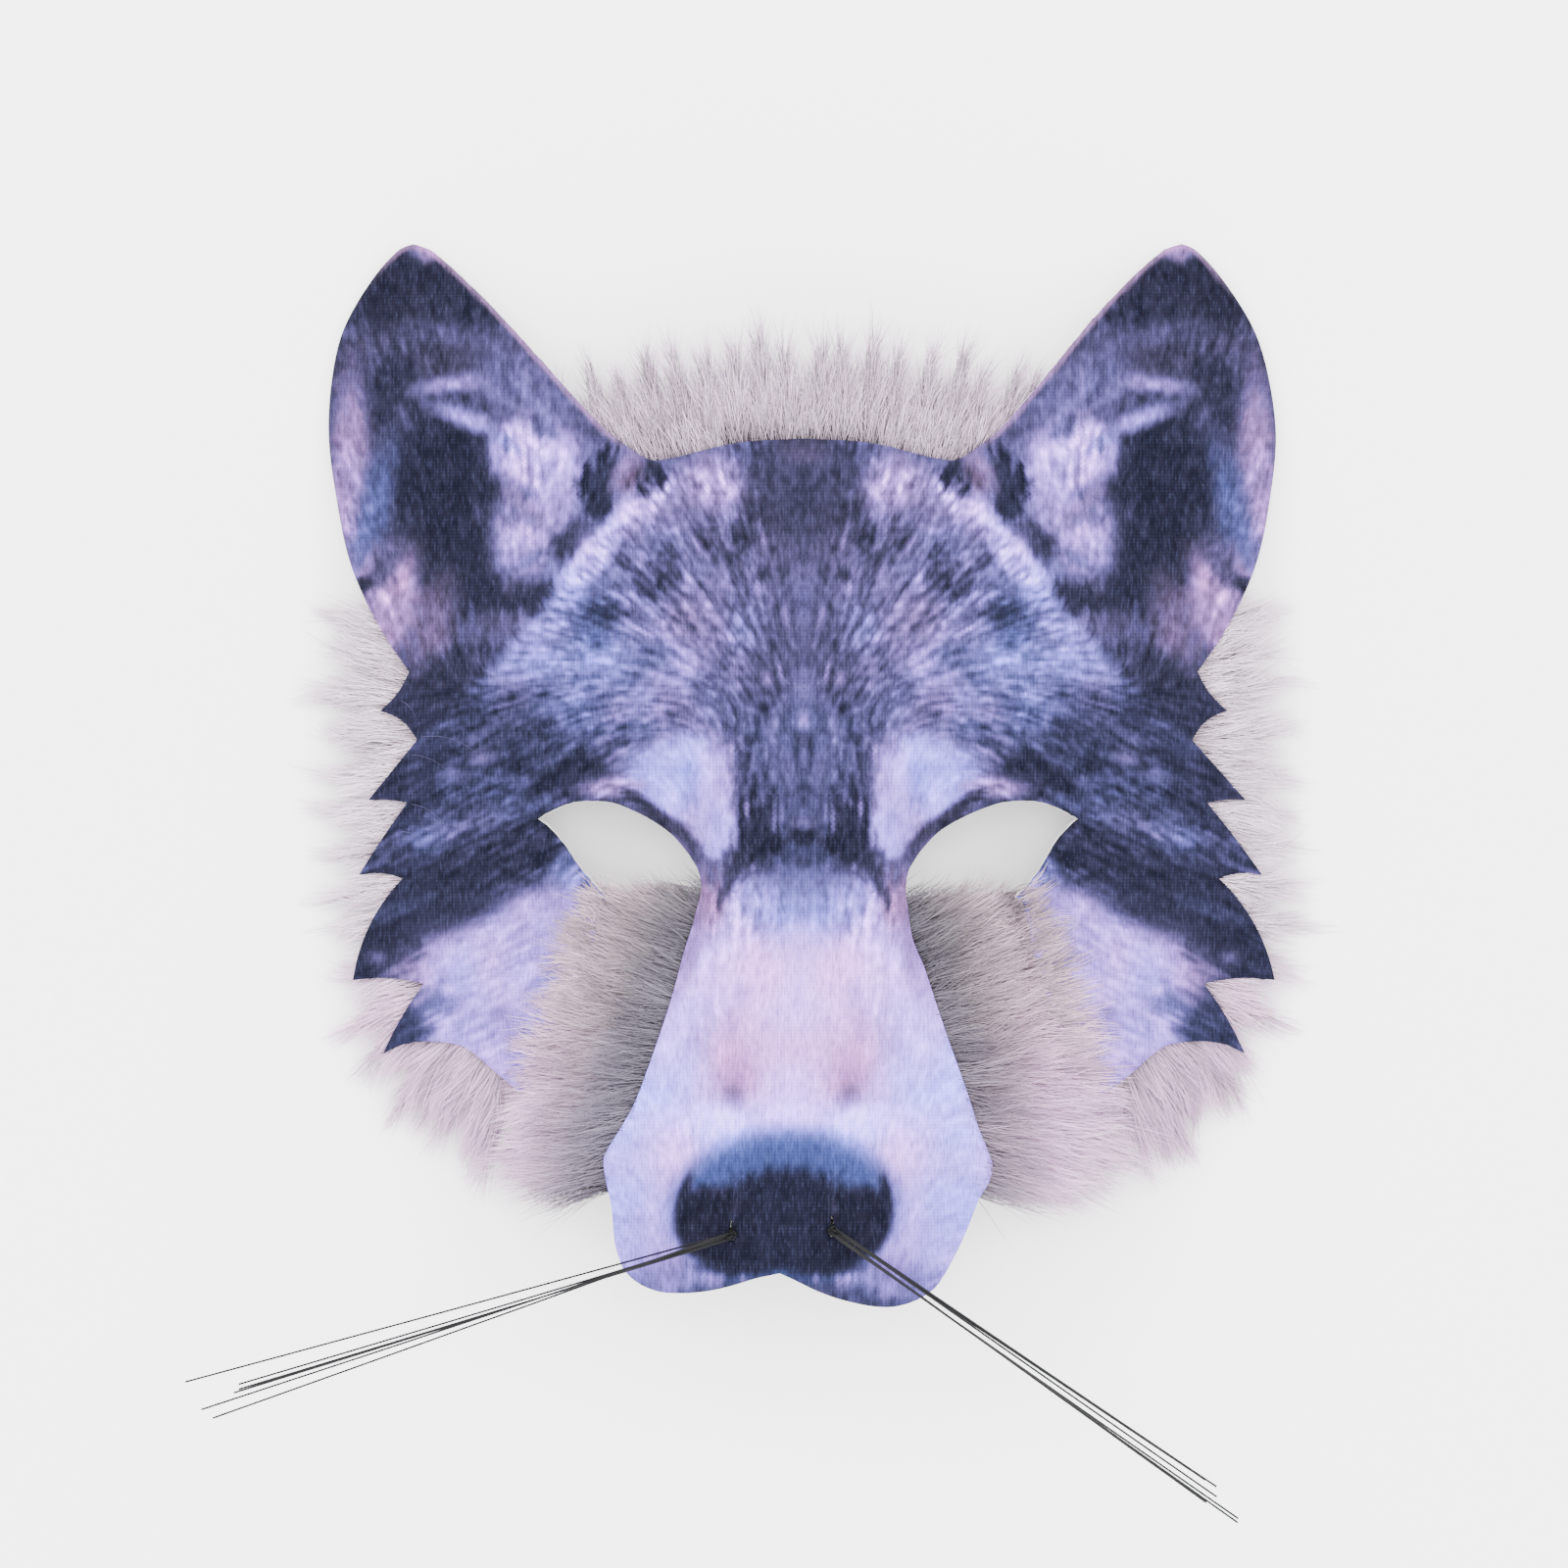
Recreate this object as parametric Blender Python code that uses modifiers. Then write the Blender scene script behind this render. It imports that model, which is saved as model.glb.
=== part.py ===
"""A wolf half-mask that lies face up: one printed plush face sheet with ears, points and muzzle,
long fur fixed behind it, and two bundles of stiff whiskers.

Metres, +Z up and out of the face, +Y towards the ears, +X to the viewer's right.
Sizes are laid out from the middle of the eye line, at floor height. The finished mask is then
moved so that the origin lies on the floor under the middle of its box."""

import math
import random

import bmesh
import bpy
from mathutils import Vector
from mathutils.geometry import delaunay_2d_cdt

MM = 0.001
NAME = "wolf_mask"
GAP = 0.4 * MM

# Sheet: its wall and how high its front lies above the floor
SHEET = 2.5 * MM
MASK_HALF = 94.7 * MM
BROW_HEIGHT = 32 * MM
SIDE_HEIGHT = 10 * MM
HIGHEST_Y = 10 * MM
FACET = 6.5 * MM
EDGE_STEP = 3.2 * MM

# Ears
EAR_HALF_SPAN = 97.4 * MM
EAR_FOOT_Y = 27 * MM
EAR_RISE = 88 * MM

# Forehead and cheeks
FOREHEAD_Y = 74.4 * MM
CHEEK_HEIGHT = 88.5 * MM

# Eye openings
EYE_WIDTH = 34.6 * MM
EYE_INNER_X = 20.8 * MM
EYE_DEPTH = 20 * MM

# Muzzle flap, in its own frame: it hangs from the bridge and leans to the viewer's left
BRIDGE_Y = -20 * MM
MUZZLE_LENGTH = 80.9 * MM
MUZZLE_HALF = 39.5 * MM
MUZZLE_LEAN = math.radians(3.7)
MUZZLE_RISE = 30 * MM
MUZZLE_ARCH = 8.4 * MM
RISE_START_Y = -2 * MM
NOSE_CURL = 5 * MM
CURL_LENGTH = 15 * MM
# How far out the muzzle stands up, as shares of MUZZLE_HALF, and how wide its flank falls away
RAISED_AT_BRIDGE = 0.6
RAISED_AT_NOSE = 1.1
WIDEST_AT = 0.7
FLANK_START = 1 * MM
FLANK_END = 9 * MM

# The hand-cut sheet isn't quite even: its ears sit to the left and its lower cheeks to the right
EAR_SWAY = -1.3 * MM
CHEEK_SWAY = 2.2 * MM
SWAY_STARTS_X = 25 * MM
SWAY_FULL_X = 45 * MM
CHEEK_SWAY_FULL_Y = -40 * MM

# Whisker slits in the nose
SLIT_X = 10.2 * MM
SLIT_LENGTH = 4.6 * MM
SLIT_WIDTH = 0.7 * MM
LEFT_SLIT_END_Y = -69.5 * MM
RIGHT_SLIT_END_Y = -67.4 * MM
SLIT_EYE = 1.7 * MM

# Whiskers: strand and plug are radii, and the pad stands off the curved back of the nose
STRAND = 0.22 * MM
PLUG = SLIT_EYE - 1.5 * GAP
BUNDLE = 0.62 * PLUG
STRAND_PITCH = 2.4 * STRAND
PAD = 2.6 * MM
PAD_THICK = 1.2 * MM
PAD_CLEAR = 0.9 * MM
PLUG_OVERLAP = 0.4 * MM
WHISKER_LENGTH = 115 * MM
WHISKER_DROOP = 9 * MM
WHISKER_BOW = 2.2 * MM
WHISKER_STAND = 0.6 * MM
WHISKER_BEND = 3.2 * MM
WHISKER_LIFT = 1.9 * MM

# Fur: how thick its backing and pile lie, and how far it is tucked under the sheet
CHEEK_PILE = 9 * MM
CROWN_PILE = 7 * MM
JOWL_PILE = 5 * MM
TUCK = 5 * MM
TIP_THICK = 0.8 * MM
CROWN_HALF = 47 * MM
CROWN_REACH = 18 * MM
CROWN_TUCK = 12 * MM

# Locks: depth of the valleys between them as a share of the pile, how far a lock leans and how
# its length varies, how far its sides draw in, and where its cross-sections lie past the parting
VALLEY = 0.35
LOCK_LEAN = 0.25
LOCK_SHORTEST = 0.9
LOCK_LONGEST = 1.04
LOCK_DRAWN_IN = 0.94
LOCK_SECTIONS = (0.4, 0.75, 1.0)
CHEEK_LOCKS = 17
JOWL_LOCKS = 11
CROWN_LOCKS = 18
CHEEK_PARTING = 0.62
JOWL_PARTING = 0.8
CROWN_PARTING = 0.6

# Ear edge from its foot round the tip to the forehead.
# out: share of EAR_HALF_SPAN; up: share of EAR_RISE above the foot
EAR_OUTER = [
    # (out, up)
    (0.829, 0.000),
    (0.878, 0.078),
    (0.923, 0.168),
    (0.958, 0.264),
    (0.981, 0.379),
    (1.000, 0.540),
    (0.991, 0.678),
    (0.965, 0.793),
    (0.916, 0.890),
    (0.869, 0.957),
    (0.838, 0.989),
    (0.811, 1.000),
    (0.779, 0.988),
    (0.736, 0.951),
]
EAR_INNER = [
    # (out, up)
    (0.736, 0.951),
    (0.656, 0.864),
    (0.571, 0.758),
    (0.486, 0.649),
    (0.411, 0.559),
    (0.342, 0.501),
]

# Forehead edge from the ear to the middle.
# out: share of MASK_HALF; up: share of FOREHEAD_Y
FOREHEAD = [
    # (out, up)
    (0.323, 0.941),
    (0.271, 0.950),
    (0.202, 0.973),
    (0.117, 0.993),
    (0.000, 1.000),
]

# Cheek points from the ear down.
# out: share of MASK_HALF; down: share of CHEEK_HEIGHT below the ear's foot;
# upper and lower: how far each point's two edges bow out, as shares of their length
CHEEK_POINTS = [
    # (tip_out, tip_down, upper, root_out, root_down, lower)
    (0.917, 0.090, -0.07, 0.838, 0.158, 0.12),
    (0.950, 0.297, 0.00, 0.865, 0.303, 0.04),
    (0.979, 0.471, 0.01, 0.883, 0.478, 0.08),
    (1.000, 0.715, 0.08, 0.844, 0.722, 0.05),
]
# Lowest point and the chin edge after it, then the cheek's inner edge up to the eye
LAST_POINT = (0.934, 0.885, 0.03)
CHIN_EDGE = [
    # (out, down)
    (0.934, 0.885),
    (0.898, 0.866),
    (0.846, 0.856),
    (0.800, 0.858),
    (0.759, 0.867),
    (0.724, 0.893),
    (0.686, 0.929),
    (0.629, 0.976),
    (0.594, 0.996),
]
CHEEK_INNER = [
    # (out, down)
    (0.594, 0.996),
    (0.567, 0.994),
    (0.520, 0.847),
    (0.488, 0.712),
    (0.458, 0.536),
]

# Eye opening. out: share of EYE_WIDTH from its inner corner; down: share of EYE_DEPTH
EYE_LOWER = [
    # (out, down)
    (0.648, 1.018),
    (0.612, 0.960),
    (0.694, 0.805),
    (0.772, 0.625),
    (0.844, 0.425),
    (0.919, 0.270),
    (1.000, 0.155),
]
EYE_UPPER = [
    # (out, down)
    (1.000, 0.155),
    (0.902, 0.060),
    (0.780, -0.015),
    (0.668, -0.030),
    (0.543, -0.010),
    (0.422, 0.065),
    (0.292, 0.175),
    (0.179, 0.310),
    (0.090, 0.480),
    (0.014, 0.700),
    (0.000, 0.875),
]

# Muzzle edge from the bridge to the cleft.
# down: share of MUZZLE_LENGTH; left and right: shares of MUZZLE_HALF
MUZZLE_EDGE = [
    # (down, left, right)
    (0.071, 0.560, 0.570),
    (0.140, 0.595, 0.638),
    (0.282, 0.655, 0.755),
    (0.453, 0.750, 0.905),
    (0.540, 0.808, 0.975),
    (0.625, 0.896, 1.056),
    (0.668, 0.938, 1.046),
    (0.710, 0.930, 1.000),
    (0.795, 0.882, 0.944),
    (0.875, 0.858, 0.878),
    (0.945, 0.805, 0.800),
    (0.985, 0.705, 0.680),
    (1.000, 0.577, 0.560),
    (0.996, 0.460, 0.425),
    (0.985, 0.344, 0.309),
    (0.968, 0.235, 0.195),
    (0.945, 0.115, 0.085),
    (0.929, 0.000, 0.000),
]

# Cheek fur from beside the ear down to the chin.
# out: share of MASK_HALF; down: share of CHEEK_HEIGHT below the ear's foot
CHEEK_FUR = [
    # (root_out, root_down, reach_out, reach_down)
    (0.760, -0.100, 0.985, -0.165),
    (0.740, 0.010, 1.015, -0.030),
    (0.730, 0.150, 1.022, 0.130),
    (0.735, 0.290, 1.005, 0.290),
    (0.740, 0.420, 1.010, 0.440),
    (0.740, 0.555, 1.015, 0.600),
    (0.735, 0.680, 1.000, 0.780),
    (0.715, 0.780, 0.930, 0.920),
    (0.700, 0.825, 0.840, 1.020),
    (0.685, 0.860, 0.755, 1.085),
    (0.672, 0.890, 0.672, 1.130),
]

# Jowl fur between muzzle and cheek, from the eye down.
# down: share of MUZZLE_LENGTH where it starts under the flap's edge;
# reach_out: share of MASK_HALF; reach_down: share of CHEEK_HEIGHT below the ear's foot
JOWL_FUR = [
    # (down, reach_out, reach_down)
    (-0.010, 0.510, 0.505),
    (0.090, 0.550, 0.640),
    (0.210, 0.580, 0.770),
    (0.330, 0.615, 0.900),
    (0.440, 0.640, 1.020),
    (0.530, 0.640, 1.130),
    (0.620, 0.560, 1.180),
    (0.700, 0.445, 1.210),
]

# Crown fur from the middle to the ear. tuck: share of CROWN_TUCK below the forehead's edge;
# reach: share of CROWN_REACH above it; out: shares of CROWN_HALF
CROWN_FUR = [
    # (root_out, tuck, reach_out, reach)
    (0.00, 1.00, 0.000, 1.00),
    (0.33, 1.02, 0.358, 0.95),
    (0.66, 1.07, 0.716, 0.82),
    (1.00, 1.17, 1.085, 0.58),
]

# Strands of one bundle. length: share of WHISKER_LENGTH; dip: degrees below the sideways line
LEFT_DIP = 17.7
RIGHT_DIP = 35.2
STRANDS = [
    # (left_length, left_dip, right_length, right_dip, place_round_the_bundle)
    (1.000, -2.4, 0.793, -1.2, 90),
    (0.910, -0.6, 0.815, -1.3, 30),
    (0.912, -0.1, 0.825, -0.3, 330),
    (0.922, 0.1, 0.815, 1.0, 270),
    (0.985, 0.7, 0.877, 0.3, 210),
    (0.970, 1.9, 0.880, 0.7, 150),
]


def ease(low, high, value):
    """0 below low, 1 above high and smooth between; low may be above high."""
    t = min(1.0, max(0.0, (value - low) / (high - low)))
    return t * t * (3 - 2 * t)


def sway(x, y):
    """Sideways shift of the sheet at a place, on the outer parts only."""
    shift = EAR_SWAY * ease(FOREHEAD_Y - CROWN_TUCK, EAR_FOOT_Y + EAR_RISE, y)
    shift += CHEEK_SWAY * ease(EAR_FOOT_Y, CHEEK_SWAY_FULL_Y, y)
    return shift * ease(SWAY_STARTS_X, SWAY_FULL_X, abs(x))


def placed(side, out, y):
    """A point of the sheet from its distance out of the middle; side is -1 left or 1 right."""
    x = side * out
    return (x + sway(x, y), y)


def from_muzzle(across, along):
    """A point given in the muzzle's own frame, whose origin is on the bridge."""
    c, s = math.cos(MUZZLE_LEAN), math.sin(MUZZLE_LEAN)
    return (across * c + along * s, BRIDGE_Y - across * s + along * c)


def to_muzzle(x, y):
    c, s = math.cos(MUZZLE_LEAN), math.sin(MUZZLE_LEAN)
    y = y - BRIDGE_Y
    return (x * c - y * s, x * s + y * c)


def dome():
    """How fast the dome falls sideways and endways: the ears' outer edges just rest on the floor."""
    side_sag = (BROW_HEIGHT - SIDE_HEIGHT) / MASK_HALF**2
    ear_edge = [p for side in (-1, 1) for p in ear_line(side, EAR_OUTER) if p[1] > 2 * EAR_FOOT_Y]
    drops = [(BROW_HEIGHT - SHEET - side_sag * x**2, y - HIGHEST_Y) for x, y in ear_edge]
    return side_sag, min(drop / far**2 for drop, far in drops)


def face_height(x, y):
    """Height of the sheet's front above the floor: a shallow dome with the muzzle standing on it."""
    height = BROW_HEIGHT - SIDE_SAG * x**2 - END_SAG * (y - HIGHEST_Y) ** 2
    across, along = to_muzzle(x, y)
    run = MUZZLE_LENGTH + RISE_START_Y - BRIDGE_Y - CURL_LENGTH
    raised = ease(RISE_START_Y - BRIDGE_Y, RISE_START_Y - BRIDGE_Y - run, along)
    widening = (RAISED_AT_NOSE - RAISED_AT_BRIDGE) * ease(0, -WIDEST_AT * MUZZLE_LENGTH, along)
    half = MUZZLE_HALF * (RAISED_AT_BRIDGE + widening)
    inside = ease(half + FLANK_END, half + FLANK_START, abs(across))
    curl = max(0.0, -along - (MUZZLE_LENGTH - CURL_LENGTH)) / CURL_LENGTH
    arch = MUZZLE_ARCH * (across / MUZZLE_HALF) ** 2
    return height + inside * (raised * (MUZZLE_RISE - arch) - NOSE_CURL * curl**2)


def face_normal(x, y):
    step = 0.2 * SHEET
    slope_x = (face_height(x + step, y) - face_height(x - step, y)) / (2 * step)
    slope_y = (face_height(x, y + step) - face_height(x, y - step)) / (2 * step)
    return Vector((-slope_x, -slope_y, 1)).normalized()


def sheet_back(x, y):
    """Height of the sheet's back at a place, less the gap that what lies behind it keeps."""
    return face_height(x, y) - SHEET / face_normal(x, y).z - GAP


def smooth_line(points, step):
    """Points about step apart on a smooth curve through a few given ones."""
    points = [Vector(p).to_2d() for p in points]
    ends = [2 * points[0] - points[1]] + points + [2 * points[-1] - points[-2]]
    line = [points[0]]
    for a, b, c, d in zip(ends, ends[1:], ends[2:], ends[3:]):
        count = max(1, round((c - b).length / step))
        for i in range(1, count + 1):
            t = i / count
            line.append(
                b
                + 0.5 * t * (c - a)
                + 0.5 * t**2 * (2 * a - 5 * b + 4 * c - d)
                + 0.5 * t**3 * (3 * b - a - 3 * c + d)
            )
    return line


def bowed_line(start, end, bow, step):
    """A curve from start to end that bows to its left by a share of its length."""
    start, end = Vector(start), Vector(end)
    along = end - start
    out = Vector((-along.y, along.x)) * 4 * bow
    count = max(1, round(along.length / step))
    return [start + along * t + out * t * (1 - t) for t in (i / count for i in range(count + 1))]


def join_lines(*lines):
    """One line from several whose ends meet."""
    joined = list(lines[0])
    for line in lines[1:]:
        joined += line[1:]
    return joined


def ear_line(side, rows):
    return [placed(side, out * EAR_HALF_SPAN, EAR_FOOT_Y + up * EAR_RISE) for out, up in rows]


def cheek_place(side, out, down):
    return placed(side, out * MASK_HALF, EAR_FOOT_Y - down * CHEEK_HEIGHT)


def cheek_edge(side):
    """The jagged outer edge, from the ear's foot to the chin edge."""
    lines = []
    start = ear_line(side, EAR_OUTER[:1])[0]
    for tip_out, tip_down, upper, root_out, root_down, lower in CHEEK_POINTS:
        tip = cheek_place(side, tip_out, tip_down)
        root = cheek_place(side, root_out, root_down)
        lines.append(bowed_line(start, tip, side * upper, EDGE_STEP))
        lines.append(bowed_line(tip, root, -side * lower, EDGE_STEP))
        start = root
    out, down, upper = LAST_POINT
    lines.append(bowed_line(start, cheek_place(side, out, down), side * upper, EDGE_STEP))
    return join_lines(*lines)


def eye_line(side, rows):
    return [placed(side, EYE_INNER_X + out * EYE_WIDTH, -down * EYE_DEPTH) for out, down in rows]


def muzzle_line(side):
    column = 1 if side < 0 else 2
    rows = [from_muzzle(side * row[column] * MUZZLE_HALF, -row[0] * MUZZLE_LENGTH) for row in MUZZLE_EDGE]
    return eye_line(side, EYE_UPPER[-1:]) + rows


def half_outline(side):
    """The sheet's edge on one side, from the middle of the forehead round to the cleft."""
    forehead = [placed(side, out * MASK_HALF, up * FOREHEAD_Y) for out, up in FOREHEAD]
    ear_inner = ear_line(side, EAR_INNER)
    ear_outer = ear_line(side, EAR_OUTER)
    ear_foot_to_middle = join_lines(
        smooth_line(ear_outer, EDGE_STEP),
        smooth_line(ear_inner, EDGE_STEP),
        [Vector(ear_inner[-1])] + smooth_line(forehead, EDGE_STEP),
    )
    return join_lines(
        ear_foot_to_middle[::-1],
        cheek_edge(side),
        smooth_line([cheek_place(side, *row) for row in CHIN_EDGE], EDGE_STEP),
        smooth_line([cheek_place(side, *row) for row in CHEEK_INNER], EDGE_STEP),
        [Vector(cheek_place(side, *CHEEK_INNER[-1]))] + smooth_line(eye_line(side, EYE_LOWER), EDGE_STEP),
        smooth_line(eye_line(side, EYE_UPPER), EDGE_STEP),
        smooth_line(muzzle_line(side), EDGE_STEP),
    )


def slit_outline(side):
    """A whisker slit: a narrow cut that its bundle of strands spreads to a round eye at the lower end."""
    lowest = LEFT_SLIT_END_Y if side < 0 else RIGHT_SLIT_END_Y
    open_angle = math.asin(0.5 * SLIT_WIDTH / SLIT_EYE)
    corners = 10
    points = [(-0.5 * SLIT_WIDTH, lowest + SLIT_LENGTH), (0.5 * SLIT_WIDTH, lowest + SLIT_LENGTH)]
    for i in range(corners + 1):
        angle = math.pi / 2 - open_angle - i * (2 * math.pi - 2 * open_angle) / corners
        points.append((SLIT_EYE * math.cos(angle), lowest + SLIT_EYE + SLIT_EYE * math.sin(angle)))
    return [Vector(from_muzzle(side * SLIT_X + x, y)) for x, y in points]


def inside_loop(point, loop):
    inside = False
    for a, b in zip(loop, loop[1:] + loop[:1]):
        if (a.y > point.y) != (b.y > point.y):
            if point.x < a.x + (point.y - a.y) / (b.y - a.y) * (b.x - a.x):
                inside = not inside
    return inside


def filling_points(loops, step):
    """Points on an even triangular grid inside the first loop, clear of every loop."""
    edge = [p for loop in loops for p in loop]
    low_x, high_x = min(p.x for p in edge), max(p.x for p in edge)
    low_y, high_y = min(p.y for p in edge), max(p.y for p in edge)
    row_step = step * math.sqrt(3) / 2
    found = []
    for row in range(int((high_y - low_y) / row_step) + 1):
        shift = 0.5 * step * (row % 2)
        for column in range(int((high_x - low_x) / step) + 1):
            point = Vector((low_x + shift + column * step, low_y + row * row_step))
            clear = min((point - p).length for p in edge) > 0.45 * step
            if clear and inside_loop(point, loops[0]):
                found.append(point)
    return found


def new_object(name, mesh, finish):
    mesh.materials.append(finish)
    thing = bpy.data.objects.new(name, mesh)
    mask_pieces.objects.link(thing)
    mesh.shade_smooth()
    mesh.set_sharp_from_angle(angle=math.radians(50))
    return thing


def finish_of(name, colour, roughness, sheen=0.0):
    finish = bpy.data.materials.new(name)
    finish.use_nodes = True
    shader = finish.node_tree.nodes["Principled BSDF"]
    shader.inputs["Base Color"].default_value = (*colour, 1)
    shader.inputs["Roughness"].default_value = roughness
    shader.inputs["Sheen Weight"].default_value = sheen
    finish.diffuse_color = (*colour, 1)
    return finish


def make_face_panel():
    """The printed sheet: its flat cut lifted onto the dome, then given its wall by Solidify."""
    left, right = half_outline(-1), half_outline(1)
    loops = [left[:-1] + right[:0:-1]]
    loops += [slit_outline(side) for side in (-1, 1)]
    points, edges = [], []
    for loop in loops:
        first = len(points)
        points += loop
        edges += [(first + i, first + (i + 1) % len(loop)) for i in range(len(loop))]
    points += filling_points(loops, FACET)
    sheet_edge = list(range(len(loops[0])))
    inside_with_holes = 2
    flat, _, faces, *_ = delaunay_2d_cdt(points, edges, [sheet_edge], inside_with_holes, 1e-7)
    mesh = bpy.data.meshes.new("face_panel")
    mesh.from_pydata([(p.x, p.y, face_height(p.x, p.y)) for p in flat], [], faces)
    panel = new_object("face_panel", mesh, finish_of("printed_plush", (0.42, 0.40, 0.55), 0.9, 0.3))
    wall = panel.modifiers.new("wall", "SOLIDIFY")
    wall.thickness = SHEET
    wall.offset = -1
    return panel


def row_between(rows, share):
    """A row read between the rows of a table, on straight lines between them."""
    place = share * (len(rows) - 1)
    index = min(int(place), len(rows) - 2)
    t = place - index
    return [a + (b - a) * t for a, b in zip(rows[index], rows[index + 1])]


def lock_strip(name, finish, rows, locks, seed, top_of, pile, parted, resting=False):
    """Fur as one body: a backing from a root line, ending in tapering locks at a reach line.

    rows hold root x, root y, reach x and reach y; top_of gives the height of the fur's top;
    pile is its thickness, and parted the share of the way out where the locks part. Each lock
    has a ridge, and its sides fall to the next. Resting fur hangs down to the floor, where it
    lies flat."""
    chance = random.Random(seed)
    rings = [0.0, 0.5 * parted, parted] + [parted + t * (1 - parted) for t in LOCK_SECTIONS]
    valley_starts = 0.25 * parted
    mesh = bmesh.new()

    def section(share, v, edge, narrow_to=None, narrow=0.0, longer=1.0):
        root_x, root_y, reach_x, reach_y = row_between(rows, share)
        root, reach = Vector((root_x, root_y)), Vector((reach_x, reach_y))
        spot = root.lerp(reach, v * longer)
        if narrow_to is not None:
            x0, y0, x1, y1 = row_between(rows, narrow_to)
            spot = spot.lerp(Vector((x0, y0)).lerp(Vector((x1, y1)), v * longer), narrow)
        top = top_of(root, reach, v, spot)
        valley = VALLEY * pile * ease(valley_starts, parted, v) if edge else 0.0
        if resting:
            lower = max(0.0, top - pile) * (1 - ease(valley_starts, parted, v))
            upper = (top - valley) * (1 - ease(parted, 1.0, v)) + 2 * TIP_THICK * ease(parted, 1.0, v)
        else:
            thin = (pile - TIP_THICK) * ease(0.5 * parted, 1.0, v)
            lower = top - pile + 0.5 * thin
            upper = top - 0.5 * thin - min(valley, 0.5 * (pile - thin))
        return (mesh.verts.new((spot.x, spot.y, upper)), mesh.verts.new((spot.x, spot.y, lower)))

    def edge_column(share, middle, longer):
        """One lock's edge: shared with its neighbour up to where the locks part."""
        column = []
        for v in rings:
            narrow = LOCK_DRAWN_IN * ease(parted - 0.1, 1.0, v) if v > parted else 0.0
            stretch = longer if v > parted else 1.0
            column.append(section(share, v, True, middle, narrow, stretch))
        return column

    shared = []
    for i in range(locks + 1):
        shared.append([section(i / locks, v, True) for v in rings if v <= parted])
    kept = len(shared[0])
    for i in range(locks):
        low, high = i / locks, (i + 1) / locks
        lean = chance.uniform(-LOCK_LEAN, LOCK_LEAN)
        middle = (i + 0.5 + lean) / locks
        longer = chance.uniform(LOCK_SHORTEST, LOCK_LONGEST)
        left = shared[i] + edge_column(low, middle, longer)[kept:]
        right = shared[i + 1] + edge_column(high, middle, longer)[kept:]
        centre = []
        for v in rings:
            share = (i + 0.5 + lean * ease(0.5 * parted, 1.0, v)) / locks
            stretch = longer if v > parted else 1.0
            centre.append(section(share, v, False, longer=stretch))
        for a, b in ((left, centre), (centre, right)):
            for j in range(len(rings) - 1):
                mesh.faces.new((a[j][0], a[j + 1][0], b[j + 1][0], b[j][0]))
                mesh.faces.new((a[j][1], b[j][1], b[j + 1][1], a[j + 1][1]))
            mesh.faces.new((a[-1][0], a[-1][1], b[-1][1], b[-1][0]))
            mesh.faces.new((a[0][0], b[0][0], b[0][1], a[0][1]))
        outer_left = range(0 if i == 0 else kept - 1, len(rings) - 1)
        outer_right = range(0 if i == locks - 1 else kept - 1, len(rings) - 1)
        for j in outer_left:
            mesh.faces.new((left[j][0], left[j][1], left[j + 1][1], left[j + 1][0]))
        for j in outer_right:
            mesh.faces.new((right[j][0], right[j + 1][0], right[j + 1][1], right[j][1]))
    bmesh.ops.triangulate(mesh, faces=mesh.faces)
    bmesh.ops.recalc_face_normals(mesh, faces=mesh.faces)
    data = bpy.data.meshes.new(name)
    mesh.to_mesh(data)
    mesh.free()
    return new_object(name, data, finish)


def make_cheek_fur(side):
    """Cream fur behind the jagged edge; its underside is pressed flat where the mask rests on it."""
    rows = []
    for root_out, root_down, reach_out, reach_down in CHEEK_FUR:
        rows.append((*cheek_place(side, root_out, root_down), *cheek_place(side, reach_out, reach_down)))

    def top_of(root, reach, v, spot):
        return sheet_back(spot.x, spot.y)

    name = "cheek_fur_left" if side < 0 else "cheek_fur_right"
    finish = finish_of(name, (0.72, 0.69, 0.65), 0.85, 0.4)
    return lock_strip(
        name, finish, rows, CHEEK_LOCKS, 11 + side, top_of, CHEEK_PILE, CHEEK_PARTING, resting=True
    )


def make_jowl_fur(side):
    """Grey fur that closes the gap between muzzle and cheek, from under the flap to under the cheek."""
    rows = []
    column = 1 if side < 0 else 2
    shares = [row[0] for row in MUZZLE_EDGE]
    for down, reach_out, reach_down in JOWL_FUR:
        index = max(i for i in range(len(shares) - 1) if shares[i] <= max(down, shares[0]))
        below, above = MUZZLE_EDGE[index], MUZZLE_EDGE[index + 1]
        t = (down - below[0]) / (above[0] - below[0])
        half = MUZZLE_HALF * (below[column] + t * (above[column] - below[column])) - TUCK
        root = from_muzzle(side * half, -down * MUZZLE_LENGTH)
        rows.append((*root, *cheek_place(side, reach_out, reach_down)))

    def top_of(root, reach, v, spot):
        high = sheet_back(root.x, root.y)
        low = sheet_back(reach.x, reach.y)
        sloped = high + (low - high) * min(1.0, v / JOWL_PARTING)
        under_sheet = v < 0.25 * JOWL_PARTING or v > JOWL_PARTING - 0.1
        return min(sloped, sheet_back(spot.x, spot.y)) if under_sheet else sloped

    name = "jowl_fur_left" if side < 0 else "jowl_fur_right"
    finish = finish_of(name, (0.42, 0.40, 0.38), 0.85, 0.4)
    return lock_strip(name, finish, rows, JOWL_LOCKS, 21 + side, top_of, JOWL_PILE, JOWL_PARTING)


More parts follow.
